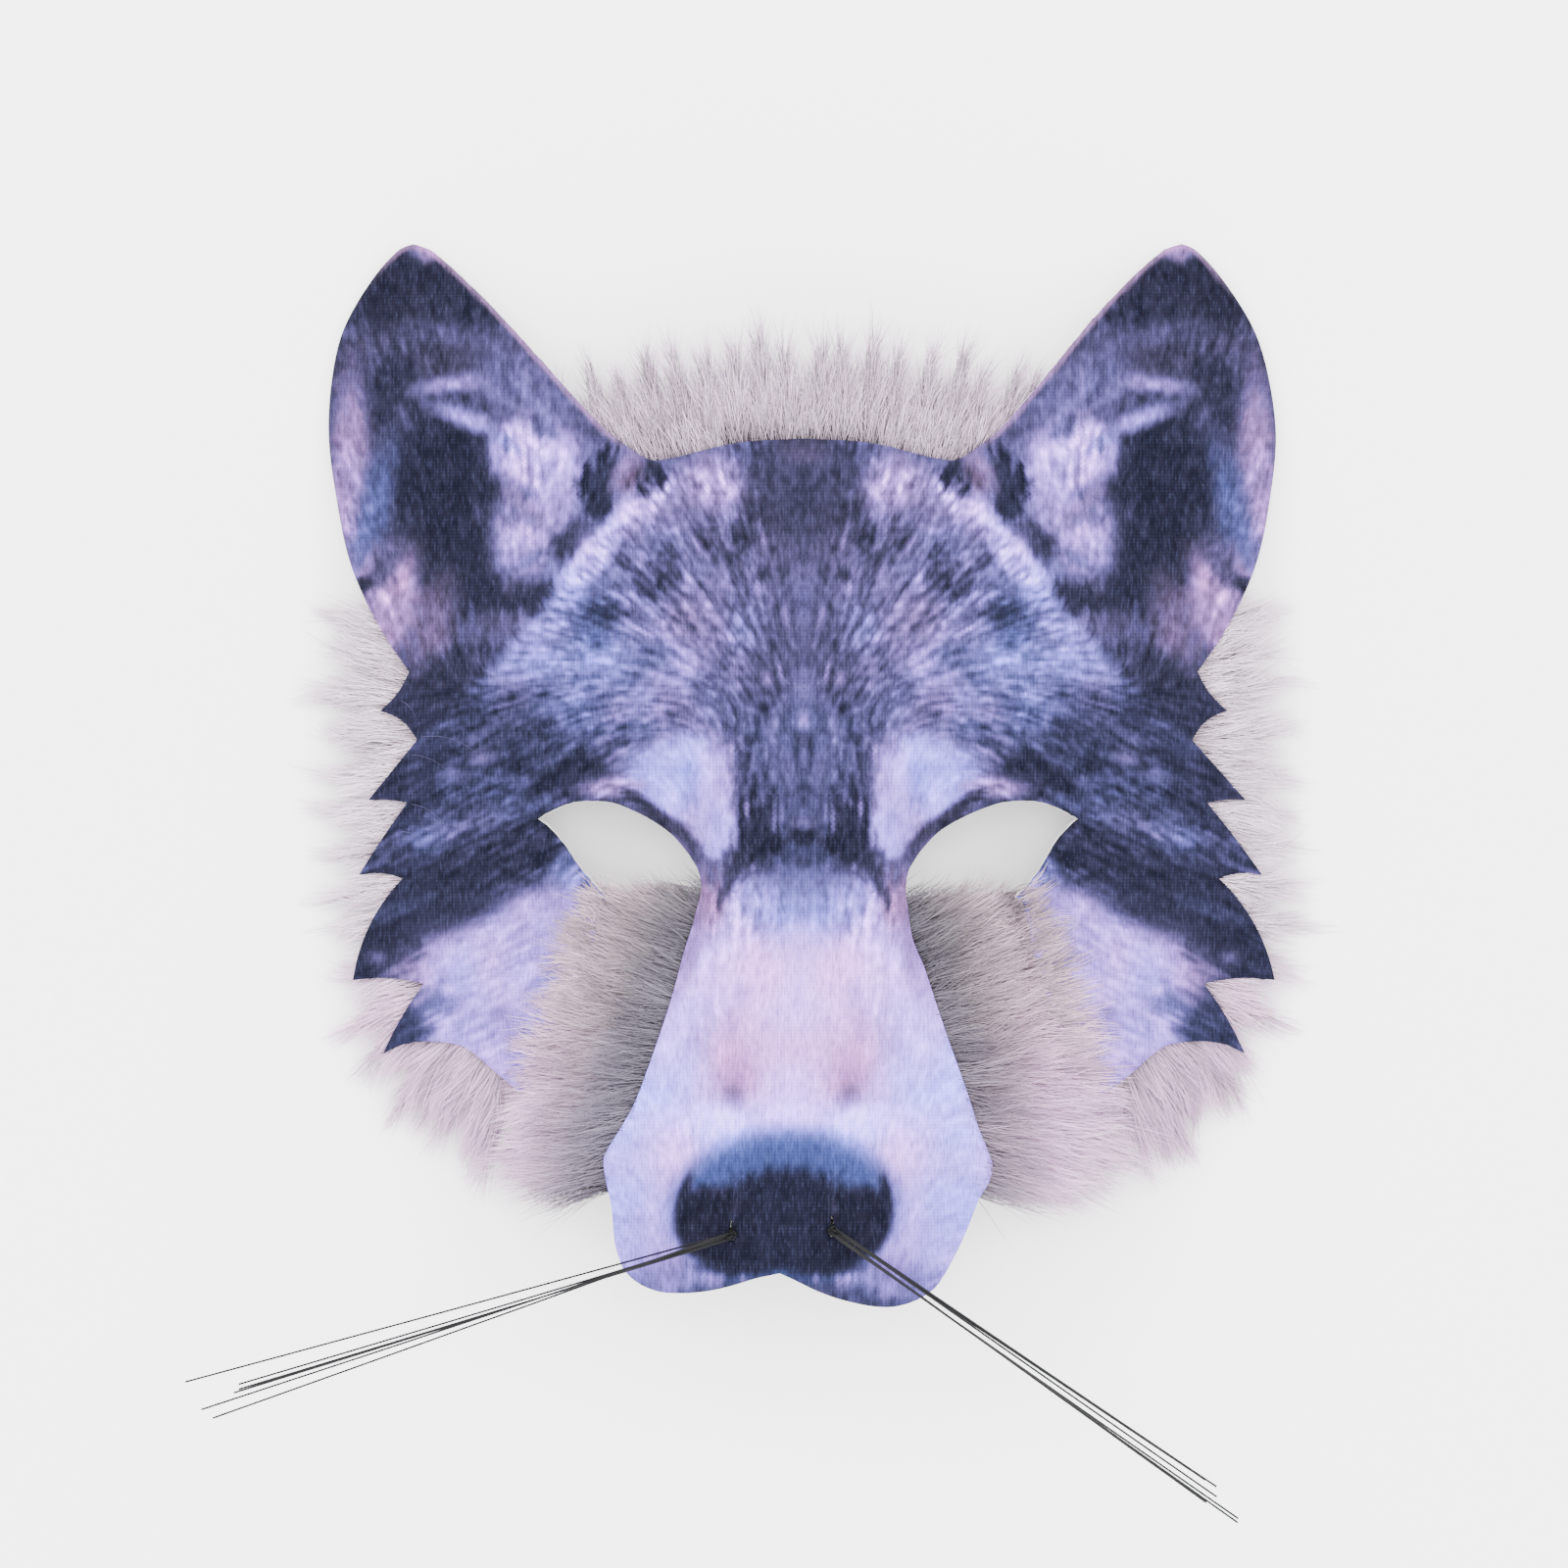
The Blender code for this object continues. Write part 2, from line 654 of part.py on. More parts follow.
def make_crown_fur():
    """Grey fur behind the forehead's edge, standing up between the ears."""
    rows = []
    for root_out, tuck, reach_out, reach in CROWN_FUR:
        root_y, reach_y = FOREHEAD_Y - tuck * CROWN_TUCK, FOREHEAD_Y + reach * CROWN_REACH
        rows.append((root_out * CROWN_HALF, root_y, reach_out * CROWN_HALF, reach_y))
    rows = [(-row[0], row[1], -row[2], row[3]) for row in rows[:0:-1]] + rows

    def top_of(root, reach, v, spot):
        return sheet_back(spot.x, spot.y)

    finish = finish_of("crown_fur", (0.47, 0.45, 0.44), 0.85, 0.4)
    return lock_strip("crown_fur", finish, rows, CROWN_LOCKS, 31, top_of, CROWN_PILE, CROWN_PARTING)


def as_mesh_object(curve_object):
    """The curve as a closed mesh object in its place."""
    bpy.context.view_layer.update()
    graph = bpy.context.evaluated_depsgraph_get()
    data = bpy.data.meshes.new_from_object(curve_object.evaluated_get(graph))
    welded = bmesh.new()
    welded.from_mesh(data)
    bmesh.ops.remove_doubles(welded, verts=welded.verts, dist=1e-6)
    welded.to_mesh(data)
    welded.free()
    thing = bpy.data.objects.new(curve_object.name + "_mesh", data)
    thing.matrix_world = curve_object.matrix_world
    bpy.data.objects.remove(curve_object)
    return thing


def strand_curve(name, points):
    curve = bpy.data.curves.new(name, "CURVE")
    curve.dimensions = "3D"
    curve.bevel_depth = STRAND
    curve.bevel_resolution = 1
    curve.use_fill_caps = True
    spline = curve.splines.new("POLY")
    spline.points.add(len(points) - 1)
    for spot, point in zip(spline.points, points):
        spot.co = (*point, 1)
    thing = bpy.data.objects.new(name, curve)
    helpers.objects.link(thing)
    return thing


def disc(radius, depth, middle, axis, sides):
    """A short cylinder round an axis, as an object among the helpers."""
    mesh = bmesh.new()
    bmesh.ops.create_cone(
        mesh, cap_ends=True, segments=sides, radius1=radius, radius2=radius, depth=depth
    )
    data = bpy.data.meshes.new("disc")
    mesh.to_mesh(data)
    mesh.free()
    thing = bpy.data.objects.new("disc", data)
    thing.matrix_world = axis.to_track_quat("Z", "Y").to_matrix().to_4x4()
    thing.location = middle
    helpers.objects.link(thing)
    return thing


def make_whiskers(side):
    """Six stiff strands through the slit, held by a glued plug and pad behind the sheet."""
    slit_end = LEFT_SLIT_END_Y if side < 0 else RIGHT_SLIT_END_Y
    eye = Vector(from_muzzle(side * SLIT_X, slit_end + SLIT_EYE))
    out_of_sheet = face_normal(*eye)
    front = Vector((*eye, face_height(*eye)))
    pad_middle = front - out_of_sheet * (SHEET + PAD_CLEAR + 0.5 * PAD_THICK)
    pad = disc(PAD, PAD_THICK, pad_middle, out_of_sheet, 14)
    neck_length = SHEET + PAD_CLEAR + 0.5 * PAD_THICK + PLUG_OVERLAP
    neck = disc(PLUG, neck_length, pad_middle + out_of_sheet * 0.5 * neck_length, out_of_sheet, 10)
    across = Vector((0, 0, 1)).cross(out_of_sheet).normalized()
    upward = out_of_sheet.cross(across)
    strands = []
    for number, (left_length, left_dip, right_length, right_dip, place) in enumerate(STRANDS):
        length = (left_length if side < 0 else right_length) * WHISKER_LENGTH
        dip = math.radians(LEFT_DIP + left_dip if side < 0 else RIGHT_DIP + right_dip)
        heading = Vector((side * math.cos(dip), -math.sin(dip), 0))
        round_bundle = math.radians(place)
        offset = BUNDLE * (across * math.cos(round_bundle) + upward * math.sin(round_bundle))
        foot = front - out_of_sheet * SHEET + offset
        mouth = front + out_of_sheet * WHISKER_STAND + offset
        rise = (number - 0.5 * (len(STRANDS) - 1)) * STRAND_PITCH
        corner = mouth + Vector((0, 0, WHISKER_LIFT + rise))
        bend_end = corner + heading * WHISKER_BEND
        tip = front + heading * length + Vector((0, 0, rise * 2 - WHISKER_DROOP))
        points = [foot, mouth]
        for i in (1, 2, 3):
            t = i / 3
            points.append(mouth * (1 - t) ** 2 + corner * 2 * t * (1 - t) + bend_end * t**2)
        for i in range(1, 6):
            t = i / 5
            bow = Vector((0, 0, WHISKER_BOW * 4 * t * (1 - t)))
            points.append(bend_end.lerp(tip, t) + bow)
        strands.append(as_mesh_object(strand_curve(f"strand_{number}", points)))
    name = "whiskers_left" if side < 0 else "whiskers_right"
    finish = finish_of(name, (0.02, 0.018, 0.018), 0.35)
    bundle = bpy.data.objects.new(name, pad.data.copy())
    bundle.matrix_world = pad.matrix_world.copy()
    bundle.data.materials.append(finish)
    mask_pieces.objects.link(bundle)
    group = bpy.data.collections.new(name + "_parts")
    helpers.children.link(group)
    for piece in [neck] + strands:
        for owner in list(piece.users_collection):
            owner.objects.unlink(piece)
        group.objects.link(piece)
        piece.hide_render = True
        piece.display_type = "WIRE"
    bpy.data.objects.remove(pad)
    joined = bundle.modifiers.new("strands", "BOOLEAN")
    joined.operation = "UNION"
    joined.operand_type = "COLLECTION"
    joined.collection = group
    joined.solver = "EXACT"
    return bundle


def centre_on_floor():
    """Moves the mask sideways until the origin is under the middle of its box."""
    bpy.context.view_layer.update()
    graph = bpy.context.evaluated_depsgraph_get()
    corners = []
    for piece in mask_pieces.objects:
        shape = piece.evaluated_get(graph)
        corners += [shape.matrix_world @ vertex.co for vertex in shape.to_mesh().vertices]
        shape.to_mesh_clear()
    middle = [0.5 * (min(c[axis] for c in corners) + max(c[axis] for c in corners)) for axis in (0, 1)]
    holder = bpy.data.objects.new(NAME + "_holder", None)
    mask_pieces.objects.link(holder)
    holder.location = (-middle[0], -middle[1], 0)
    for piece in list(mask_pieces.objects) + list(helpers.all_objects):
        if piece is not holder:
            piece.parent = holder


for thing in list(bpy.data.objects):
    bpy.data.objects.remove(thing)
mask_pieces = bpy.data.collections.new(NAME)
bpy.context.scene.collection.children.link(mask_pieces)
helpers = bpy.data.collections.new("cutters_and_guides")
helpers.hide_render = True
bpy.context.scene.collection.children.link(helpers)

SIDE_SAG, END_SAG = dome()
make_face_panel()
make_crown_fur()
for mask_side in (-1, 1):
    make_cheek_fur(mask_side)
    make_jowl_fur(mask_side)
    make_whiskers(mask_side)
centre_on_floor()
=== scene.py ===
"""A wolf half-mask lying face up on a pale floor: printed plush face sheet, long fur and whiskers."""

import math

import bpy
import numpy as np
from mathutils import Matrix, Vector
from mathutils.bvhtree import BVHTree
from mathutils.geometry import delaunay_2d_cdt
from mathutils.kdtree import KDTree


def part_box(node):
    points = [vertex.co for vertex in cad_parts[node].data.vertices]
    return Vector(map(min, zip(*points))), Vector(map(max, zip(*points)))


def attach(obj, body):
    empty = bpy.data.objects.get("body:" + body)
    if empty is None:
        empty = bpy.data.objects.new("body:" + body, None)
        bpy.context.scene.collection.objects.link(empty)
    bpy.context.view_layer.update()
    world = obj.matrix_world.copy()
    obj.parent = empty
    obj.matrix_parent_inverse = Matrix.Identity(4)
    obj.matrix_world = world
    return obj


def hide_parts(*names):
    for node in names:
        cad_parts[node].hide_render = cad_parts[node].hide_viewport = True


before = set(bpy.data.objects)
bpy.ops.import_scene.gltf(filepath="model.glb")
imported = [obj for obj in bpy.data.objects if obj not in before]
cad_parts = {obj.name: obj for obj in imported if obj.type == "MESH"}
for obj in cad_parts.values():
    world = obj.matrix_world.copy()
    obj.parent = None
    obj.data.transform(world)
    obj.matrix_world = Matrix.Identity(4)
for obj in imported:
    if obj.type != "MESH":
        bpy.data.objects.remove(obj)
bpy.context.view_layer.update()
MM = 0.001

# Face sheet
# One flat-cut sheet of short plush, printed with a wolf's face and backed with thin pale foam.
# Its muzzle flap, ears and jagged cheeks are all of one piece, laid over the furs and glued.
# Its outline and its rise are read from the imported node; everything here is in millimetres,
# measured from the middle of the eye line.
EAR_TOP = 115.0  # the ears' tips above the eye line
EAR_OUT = 97.7  # the left ear's outer side from the middle
SHEET = 2.5  # thickness of plush and foam together
PLUSH_SHARE = 0.35  # the plush's part of that thickness
CUT_STEP = 2.0  # spacing of the points along the cut edges
FILL_STEP = 2.45  # spacing of the points between them, before two halvings
ROLLED_EDGE = 0.45  # how far the pile rounds off at a cut
SLIT_WIDTH = 0.5
BRIDGE_Y = -20.0  # where the muzzle flap starts
MUZZLE_LEAN = math.tan(math.radians(3.7))

sheet_low, sheet_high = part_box("face_panel")
eye_line = np.array([sheet_low[0] / MM + EAR_OUT, sheet_high[1] / MM - EAR_TOP, 0.0])


def node_triangles(name):
    """Corner places in the mask's own frame, and triangles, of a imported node."""
    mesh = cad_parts[name].data
    mesh.calc_loop_triangles()
    places = np.empty(3 * len(mesh.vertices), np.float32)
    mesh.vertices.foreach_get("co", places)
    corners = np.empty(3 * len(mesh.loop_triangles), np.int32)
    mesh.loop_triangles.foreach_get("vertices", corners)
    joined, where = np.unique(np.round(places.reshape(-1, 3) / MM, 3), axis=0, return_inverse=True)
    return joined - eye_line, where.reshape(-1)[corners.reshape(-1, 3)]


def facing_of(places, triangles):
    """Each triangle's normal, as long as twice its area."""
    a, b, c = (places[triangles[:, i]] for i in range(3))
    return np.cross(b - a, c - a)


def upper_skin(places, triangles, fold_degrees=50):
    """The triangles reached from the topmost one without crossing a sharp edge."""
    facing = facing_of(places, triangles)
    facing /= np.linalg.norm(facing, axis=1, keepdims=True)
    beside = {}
    for number, (a, b, c) in enumerate(triangles.tolist()):
        for edge in ((a, b), (b, c), (c, a)):
            beside[edge] = number
    start = int(np.argmax(places[triangles].mean(1)[:, 2] + 50 * (facing[:, 2] > 0.9)))
    reached, waiting = {start}, [start]
    smooth = math.cos(math.radians(fold_degrees))
    while waiting:
        number = waiting.pop()
        a, b, c = triangles[number].tolist()
        for edge in ((b, a), (c, b), (a, c)):
            other = beside.get(edge)
            if other is None or other in reached or facing[number] @ facing[other] < smooth:
                continue
            reached.add(other)
            waiting.append(other)
    return triangles[sorted(reached)]


def border_loops(triangles):
    """The rings of corners round the edge of a surface, each in its faces' own direction."""
    directed = set()
    for a, b, c in triangles.tolist():
        directed |= {(a, b), (b, c), (c, a)}
    onward = {a: b for a, b in directed if (b, a) not in directed}
    loops = []
    while onward:
        start = min(onward)
        loop = [start]
        while onward[loop[-1]] != start:
            loop.append(onward.pop(loop[-1]))
        onward.pop(loop[-1])
        loops.append(loop)
    return sorted(loops, key=len, reverse=True)


def curved_loop(points, step, corner_degrees=32):
    """A closed line through the points: curved through gentle turns, straight into corners."""
    count = len(points)
    before, after = np.roll(points, 1, 0), np.roll(points, -1, 0)
    into, out = points - before, after - points
    turn = np.arctan2(
        into[:, 0] * out[:, 1] - into[:, 1] * out[:, 0], (into[:, :2] * out[:, :2]).sum(1)
    )
    corner = np.abs(turn) > math.radians(corner_degrees)
    line = []
    for i in range(count):
        j = (i + 1) % count
        leg = out[i]
        leave = leg if corner[i] else 0.5 * (after[i] - before[i])
        arrive = leg if corner[j] else 0.5 * (after[j] - before[j])
        parts = max(1, math.ceil(np.linalg.norm(leg) / step))
        for k in range(parts):
            t = k / parts
            line.append(
                points[i] * (2 * t**3 - 3 * t**2 + 1)
                + leave * (t**3 - 2 * t**2 + t)
                + points[j] * (3 * t**2 - 2 * t**3)
                + arrive * (t**3 - t**2)
            )
    return np.array(line)


def narrow_slit(points):
    """A fine cut as long as the node's slit and on its middle line."""
    low, high = points.min(0), points.max(0)
    middle = points[np.argmax(points[:, 1])]
    foot = points[np.argmin(points[:, 1])]
    heights = np.linspace(0.02, 0.98, 5)
    line = []
    for side, order in ((1, heights), (-1, heights[::-1])):
        for t in order:
            wide = 0.5 * SLIT_WIDTH * (1 + 1.6 * (1 - t) ** 2)
            spot = foot + (middle - foot) * t
            line.append([spot[0] + side * wide, low[1] + (high[1] - low[1]) * t, spot[2]])
    return np.array(line)[::-1]


def inside_line(points, line):
    """Which points lie inside a closed line, seen from above."""
    inside = np.zeros(len(points), bool)
    for a, b in zip(line, np.roll(line, -1, 0)):
        if a[1] == b[1]:
            continue
        crosses = (a[1] > points[:, 1]) != (b[1] > points[:, 1])
        at = a[0] + (points[:, 1] - a[1]) / (b[1] - a[1]) * (b[0] - a[0])
        inside ^= crosses & (points[:, 0] < at)
    return inside


def surface_under(places, triangles):
    """A surface to be asked for its heights."""
    return BVHTree.FromPolygons([Vector(p) for p in places], triangles.tolist())


def height_at(surface, x, y, missing=0.0):
    """The surface's upper side at a place, or the missing value beside it."""
    hit = surface.ray_cast(Vector((x, y, 200.0)), Vector((0, 0, -1)))[0]
    return missing if hit is None else hit.z


def edges_of(triangles):
    """Each edge of the triangles once, as a pair of corners."""
    pairs = np.sort(triangles[:, [0, 1, 1, 2, 2, 0]].reshape(-1, 2), axis=1)
    return np.unique(pairs, axis=0)


def relaxed(heights, triangles, held, times):
    """Heights evened out between neighbours, with the held ones kept."""
    a, b = edges_of(triangles).T
    many = np.bincount(np.r_[a, b], minlength=len(heights))
    for _ in range(times):
        total = np.bincount(np.r_[a, b], np.r_[heights[b], heights[a]], len(heights))
        heights = np.where(held, heights, 0.5 * heights + 0.5 * total / many)
    return heights


def split_triangles(places, triangles):
    """Every triangle cut into four at the middles of its sides."""
    pairs = np.sort(triangles[:, [0, 1, 1, 2, 2, 0]].reshape(-1, 2), axis=1)
    sides, where = np.unique(pairs, axis=0, return_inverse=True)
    ab, bc, ca = (len(places) + where.reshape(-1, 3)).T
    a, b, c = triangles.T
    parts = [np.c_[a, ab, ca], np.c_[ab, b, bc], np.c_[ca, bc, c], np.c_[ab, bc, ca]]
    return np.concatenate([places, places[sides].mean(1)]), np.concatenate(parts)


def on_border(count, triangles):
    """Which corners lie on the surface's edge."""
    held = np.zeros(count, bool)
    for loop in border_loops(triangles):
        held[loop] = True
    return held


panel_places, panel_triangles = node_triangles("face_panel")
panel_front = upper_skin(panel_places, panel_triangles)
panel_loops = border_loops(panel_front)
cut_lines = [curved_loop(panel_places[panel_loops[0]], CUT_STEP)]
cut_lines += [narrow_slit(panel_places[loop]) for loop in panel_loops[1:3]]

cut_points = np.concatenate(cut_lines)
grid_x, grid_y = np.meshgrid(
    np.arange(-EAR_OUT, EAR_OUT, FILL_STEP), np.arange(-EAR_TOP, EAR_TOP, FILL_STEP * 0.866)
)
grid_x[1::2] += 0.5 * FILL_STEP
fill = np.c_[grid_x.ravel(), grid_y.ravel()]
fill = fill[inside_line(fill, cut_lines[0])]
far = np.concatenate(
    [((part[:, None] - cut_points[None, :, :2]) ** 2).sum(2).min(1) for part in np.array_split(fill, 20)]
)
fill = fill[far > (0.5 * FILL_STEP) ** 2]

rim_edges = []
first = 0
for line in cut_lines:
    rim_edges += [(first + i, first + (i + 1) % len(line)) for i in range(len(line))]
    first += len(line)
flat_points = [Vector(p) for p in cut_points[:, :2].tolist() + fill.tolist()]
INSIDE_WITH_HOLES = 2
flat, _, flat_faces, *_ = delaunay_2d_cdt(
    flat_points, rim_edges, [list(range(len(cut_lines[0])))], INSIDE_WITH_HOLES, 1e-6
)
coarse_front = np.array([list(face) for face in flat_faces])
node_surface = surface_under(panel_places, panel_front)
coarse = np.array([(p.x, p.y, height_at(node_surface, p.x, p.y, np.nan)) for p in flat])
coarse[: len(cut_points), 2] = cut_points[:, 2]
for i in np.flatnonzero(np.isnan(coarse[:, 2])):
    coarse[i, 2] = cut_points[np.argmin(((cut_points[:, :2] - coarse[i, :2]) ** 2).sum(1)), 2]
held = on_border(len(coarse), coarse_front)
coarse[:, 2] = relaxed(coarse[:, 2], coarse_front, held, 12)
fine, fine_front = split_triangles(coarse, coarse_front)
fine[:, 2] = relaxed(fine[:, 2], fine_front, on_border(len(fine), fine_front), 8)
fine, fine_front = split_triangles(fine, fine_front)
held = on_border(len(fine), fine_front)
fine[:, 2] = relaxed(fine[:, 2], fine_front, held, 8)

leaning = np.zeros_like(fine)
fine_facing = facing_of(fine, fine_front)
for i in range(3):
    np.add.at(leaning, fine_front[:, i], fine_facing)
leaning /= np.linalg.norm(leaning, axis=1, keepdims=True)

rim_tree = KDTree(int(held.sum()))
for number, i in enumerate(np.flatnonzero(held)):
    rim_tree.insert(Vector(fine[i]), int(i))
rim_tree.balance()
from_rim = np.array([rim_tree.find(Vector(p))[2] for p in fine])

# Print on the plush
# A wolf's face in charcoal, blue-violet and lilac dye, the same on both halves of the sheet.
# Tone runs from 0 dark to 1 light and warmth from -1 blue to 1 pink. Soft marks are laid over
# each other in the order of the tables, ragged along the way the printed hairs lie.


def smooth_step(low, high, value):
    """0 at the low value, 1 at the high one and smooth between."""
    t = np.clip((value - low) / (high - low), 0, 1)
    return t * t * (3 - 2 * t)


def hair_way(x, y):
    """Which way the printed hairs lie on the right half, as a unit vector."""
    round_brow = np.degrees(np.arctan2(y - 12.0, x + 1e-6))
    angle = np.maximum(round_brow - 0.65 * np.maximum(0, 45 - round_brow), -28)
    upright = smooth_step(44 - 0.6 * np.maximum(y, 0), 20 - 0.4 * np.maximum(y, 0), x)
    angle = angle + (90 - angle) * upright * smooth_step(32, 12, y)
    in_ear = smooth_step(64, 70, 0.793 * x + 0.61 * y) * smooth_step(20, 32, y)
    angle = angle + (100 - 0.5 * (x - 40) - angle) * in_ear
    return np.cos(np.radians(angle)), np.sin(np.radians(angle))


# The noise covers one half of the sheet; it is mirrored for the other
NOISE_CELL = 0.3
NOISE_WIDE = 101.0
NOISE_LONG = 236.0
NOISE_SIZE = (int(NOISE_WIDE / NOISE_CELL), int(NOISE_LONG / NOISE_CELL))
NOISE_LOW_Y = -0.5 * NOISE_LONG
NOISE_STEP = 1.5


def read_grid(grid, x, y):
    """A value between the cells of a noise grid."""
    u = np.clip(x / NOISE_CELL, 0, NOISE_SIZE[0] - 1.001)
    v = np.clip((y - NOISE_LOW_Y) / NOISE_CELL, 0, NOISE_SIZE[1] - 1.001)
    i, j = u.astype(int), v.astype(int)
    s, t = u - i, v - j
    low = grid[i, j] * (1 - s) + grid[i + 1, j] * s
    high = grid[i, j + 1] * (1 - s) + grid[i + 1, j + 1] * s
    return low * (1 - t) + high * t


def combed_noise(reach, blur, seed):
    """Noise drawn out along the printed hairs, with a mean of 0 and a spread of 1."""
    grid = np.random.default_rng(seed).standard_normal(NOISE_SIZE)
    for _ in range(blur):
        for axis in (0, 1):
            grid = 0.25 * np.roll(grid, 1, axis) + 0.5 * grid + 0.25 * np.roll(grid, -1, axis)
    x, y = np.meshgrid(np.arange(NOISE_SIZE[0]), np.arange(NOISE_SIZE[1]), indexing="ij")
    x, y = x * NOISE_CELL, y * NOISE_CELL + NOISE_LOW_Y
    total = grid.copy()
    for way in (-1, 1):
        at_x, at_y = x.copy(), y.copy()
        for _ in range(int(reach / NOISE_CELL / NOISE_STEP)):
            step_x, step_y = hair_way(at_x, at_y)
            at_x += way * step_x * NOISE_CELL * NOISE_STEP
            at_y += way * step_y * NOISE_CELL * NOISE_STEP
            total += read_grid(grid, np.abs(at_x), at_y)
    return (total - total.mean()) / total.std()


# How dark, how warm and how mottled the ground of each broad area is
GROUNDS = [
    # (out, up, half_wide, half_high, turn, soft, tone, warm, mottle)
    (0, 40, 70, 45, 0, 0.30, 0.50, -0.05, 0.13),
    (0, 62, 13, 24, 0, 0.40, 0.22, 0.10, 0.10),
    (0, 36, 9, 24, 0, 0.60, 0.44, 0.00, 0.12),
    (50, 24, 24, 11, -14, 0.40, 0.56, -0.45, 0.11),
    (68, 8, 26, 14, -6, 0.35, 0.27, -0.30, 0.10),
    (83, 14, 9, 16, 0, 0.60, 0.14, -0.15, 0.07),
    (66, -10, 30, 12, -12, 0.35, 0.27, -0.25, 0.12),
    (80, -24, 22, 13, -22, 0.30, 0.15, -0.20, 0.07),
    (84, -33, 17, 8, -30, 0.30, 0.12, -0.20, 0.06),
    (56, -40, 27, 22, 0, 0.25, 0.87, 0.20, 0.04),
    (0, 4, 15, 18, 0, 0.30, 0.42, -0.25, 0.13),
    (0, -8, 14, 8, 0, 0.40, 0.34, -0.30, 0.12),
    (24, 5, 10, 8, 0, 0.45, 0.84, -0.30, 0.03),
    (18.4, -3.5, 4.8, 8.6, -20, 0.30, 0.84, -0.25, 0.03),
]
EAR_MARKS = [
    # (out, up, half_wide, half_high, turn, soft, tone, warm, strength)
    (80, 75, 30, 50, 0, 0.10, 0.34, -0.05, 1.0),
    (79, 105, 18, 11, -10, 0.40, 0.10, 0.00, 1.0),
    (77, 113.4, 3.6, 2.0, 0, 0.70, 0.78, 0.80, 0.9),
    (74, 91, 24, 5, 0, 0.80, 0.22, 0.25, 0.9),
    (76, 97, 9, 2.4, 10, 0.80, 0.46, -0.10, 0.6),
    (86, 84, 6, 9, 10, 0.60, 0.17, -0.05, 0.9),
    (74, 66, 12.5, 14.5, 6, 0.42, 0.06, -0.05, 1.0),
    (70, 50, 11, 11, 20, 0.30, 0.07, 0.00, 1.0),
    (62, 43, 10, 5.5, -10, 0.40, 0.08, 0.00, 1.0),
    (54.5, 41.5, 4, 4, 0, 0.60, 0.10, 0.00, 0.9),
    (72, 86, 8, 1.7, -8, 0.80, 0.80, 0.20, 0.85),
    (63, 84, 6, 1.5, 30, 0.80, 0.66, 0.00, 0.7),
    (68, 78.5, 8, 1.9, 20, 0.70, 0.84, 0.05, 0.9),
    (57, 85, 12, 6.0, 46, 0.60, 0.52, -0.05, 1.0),
    (60, 86, 8, 1.0, 46, 0.90, 0.40, -0.10, 0.6),
    (55, 82, 8, 1.0, 46, 0.90, 0.76, -0.10, 0.6),
    (62, 90, 4, 1.6, 40, 0.80, 0.40, -0.05, 0.7),
    (54.5, 70.5, 10.5, 8.0, 30, 0.35, 0.90, 0.20, 1.0),
    (56.5, 56, 7.5, 11, 16, 0.40, 0.76, 0.25, 1.0),
    (61, 74, 4, 1.2, 40, 0.90, 0.58, -0.40, 0.7),
    (57, 64, 6, 1.2, 30, 0.90, 0.60, -0.30, 0.7),
    (54, 57, 6, 1.2, 24, 0.90, 0.52, -0.30, 0.7),
    (50, 60, 4.5, 8, 20, 0.60, 0.76, 0.30, 0.8),
    (52.5, 76.5, 3.4, 2.0, 40, 0.90, 0.42, -0.30, 0.7),
    (60, 60, 3.0, 3.0, 0, 0.90, 0.52, -0.40, 0.6),
    (56, 50, 3.0, 1.2, -30, 0.90, 0.50, -0.30, 0.6),
    (41.8, 64.5, 3.7, 8.0, 12, 0.30, 0.12, -0.15, 1.0),
    (47.4, 54, 2.6, 5.5, 36, 0.60, 0.24, 0.00, 0.9),
    (36, 68, 2.6, 5.5, 30, 0.50, 0.62, 0.70, 0.9),
    (34.6, 66, 2.2, 2.6, 30, 0.60, 0.34, 1.00, 0.8),
    (93.5, 64, 4.2, 25, 2, 0.40, 0.66, 0.50, 1.0),
    (88.5, 58, 3.6, 16, 12, 0.60, 0.52, -0.55, 0.85),
    (87, 40, 8, 13, 22, 0.40, 0.74, 0.70, 1.0),
    (85.5, 49, 2.6, 5.5, 30, 0.70, 0.34, -0.10, 0.8),
    (90.5, 45, 2.4, 1.3, -10, 0.70, 0.16, 0.00, 0.8),
    (76, 36, 4.2, 11, 16, 0.70, 0.48, 0.85, 0.8),
    (64, 36.5, 5.5, 3.2, 0, 0.80, 0.46, 0.30, 0.7),
    (72, 27, 9, 4, -10, 0.60, 0.13, 0.00, 0.9),
]
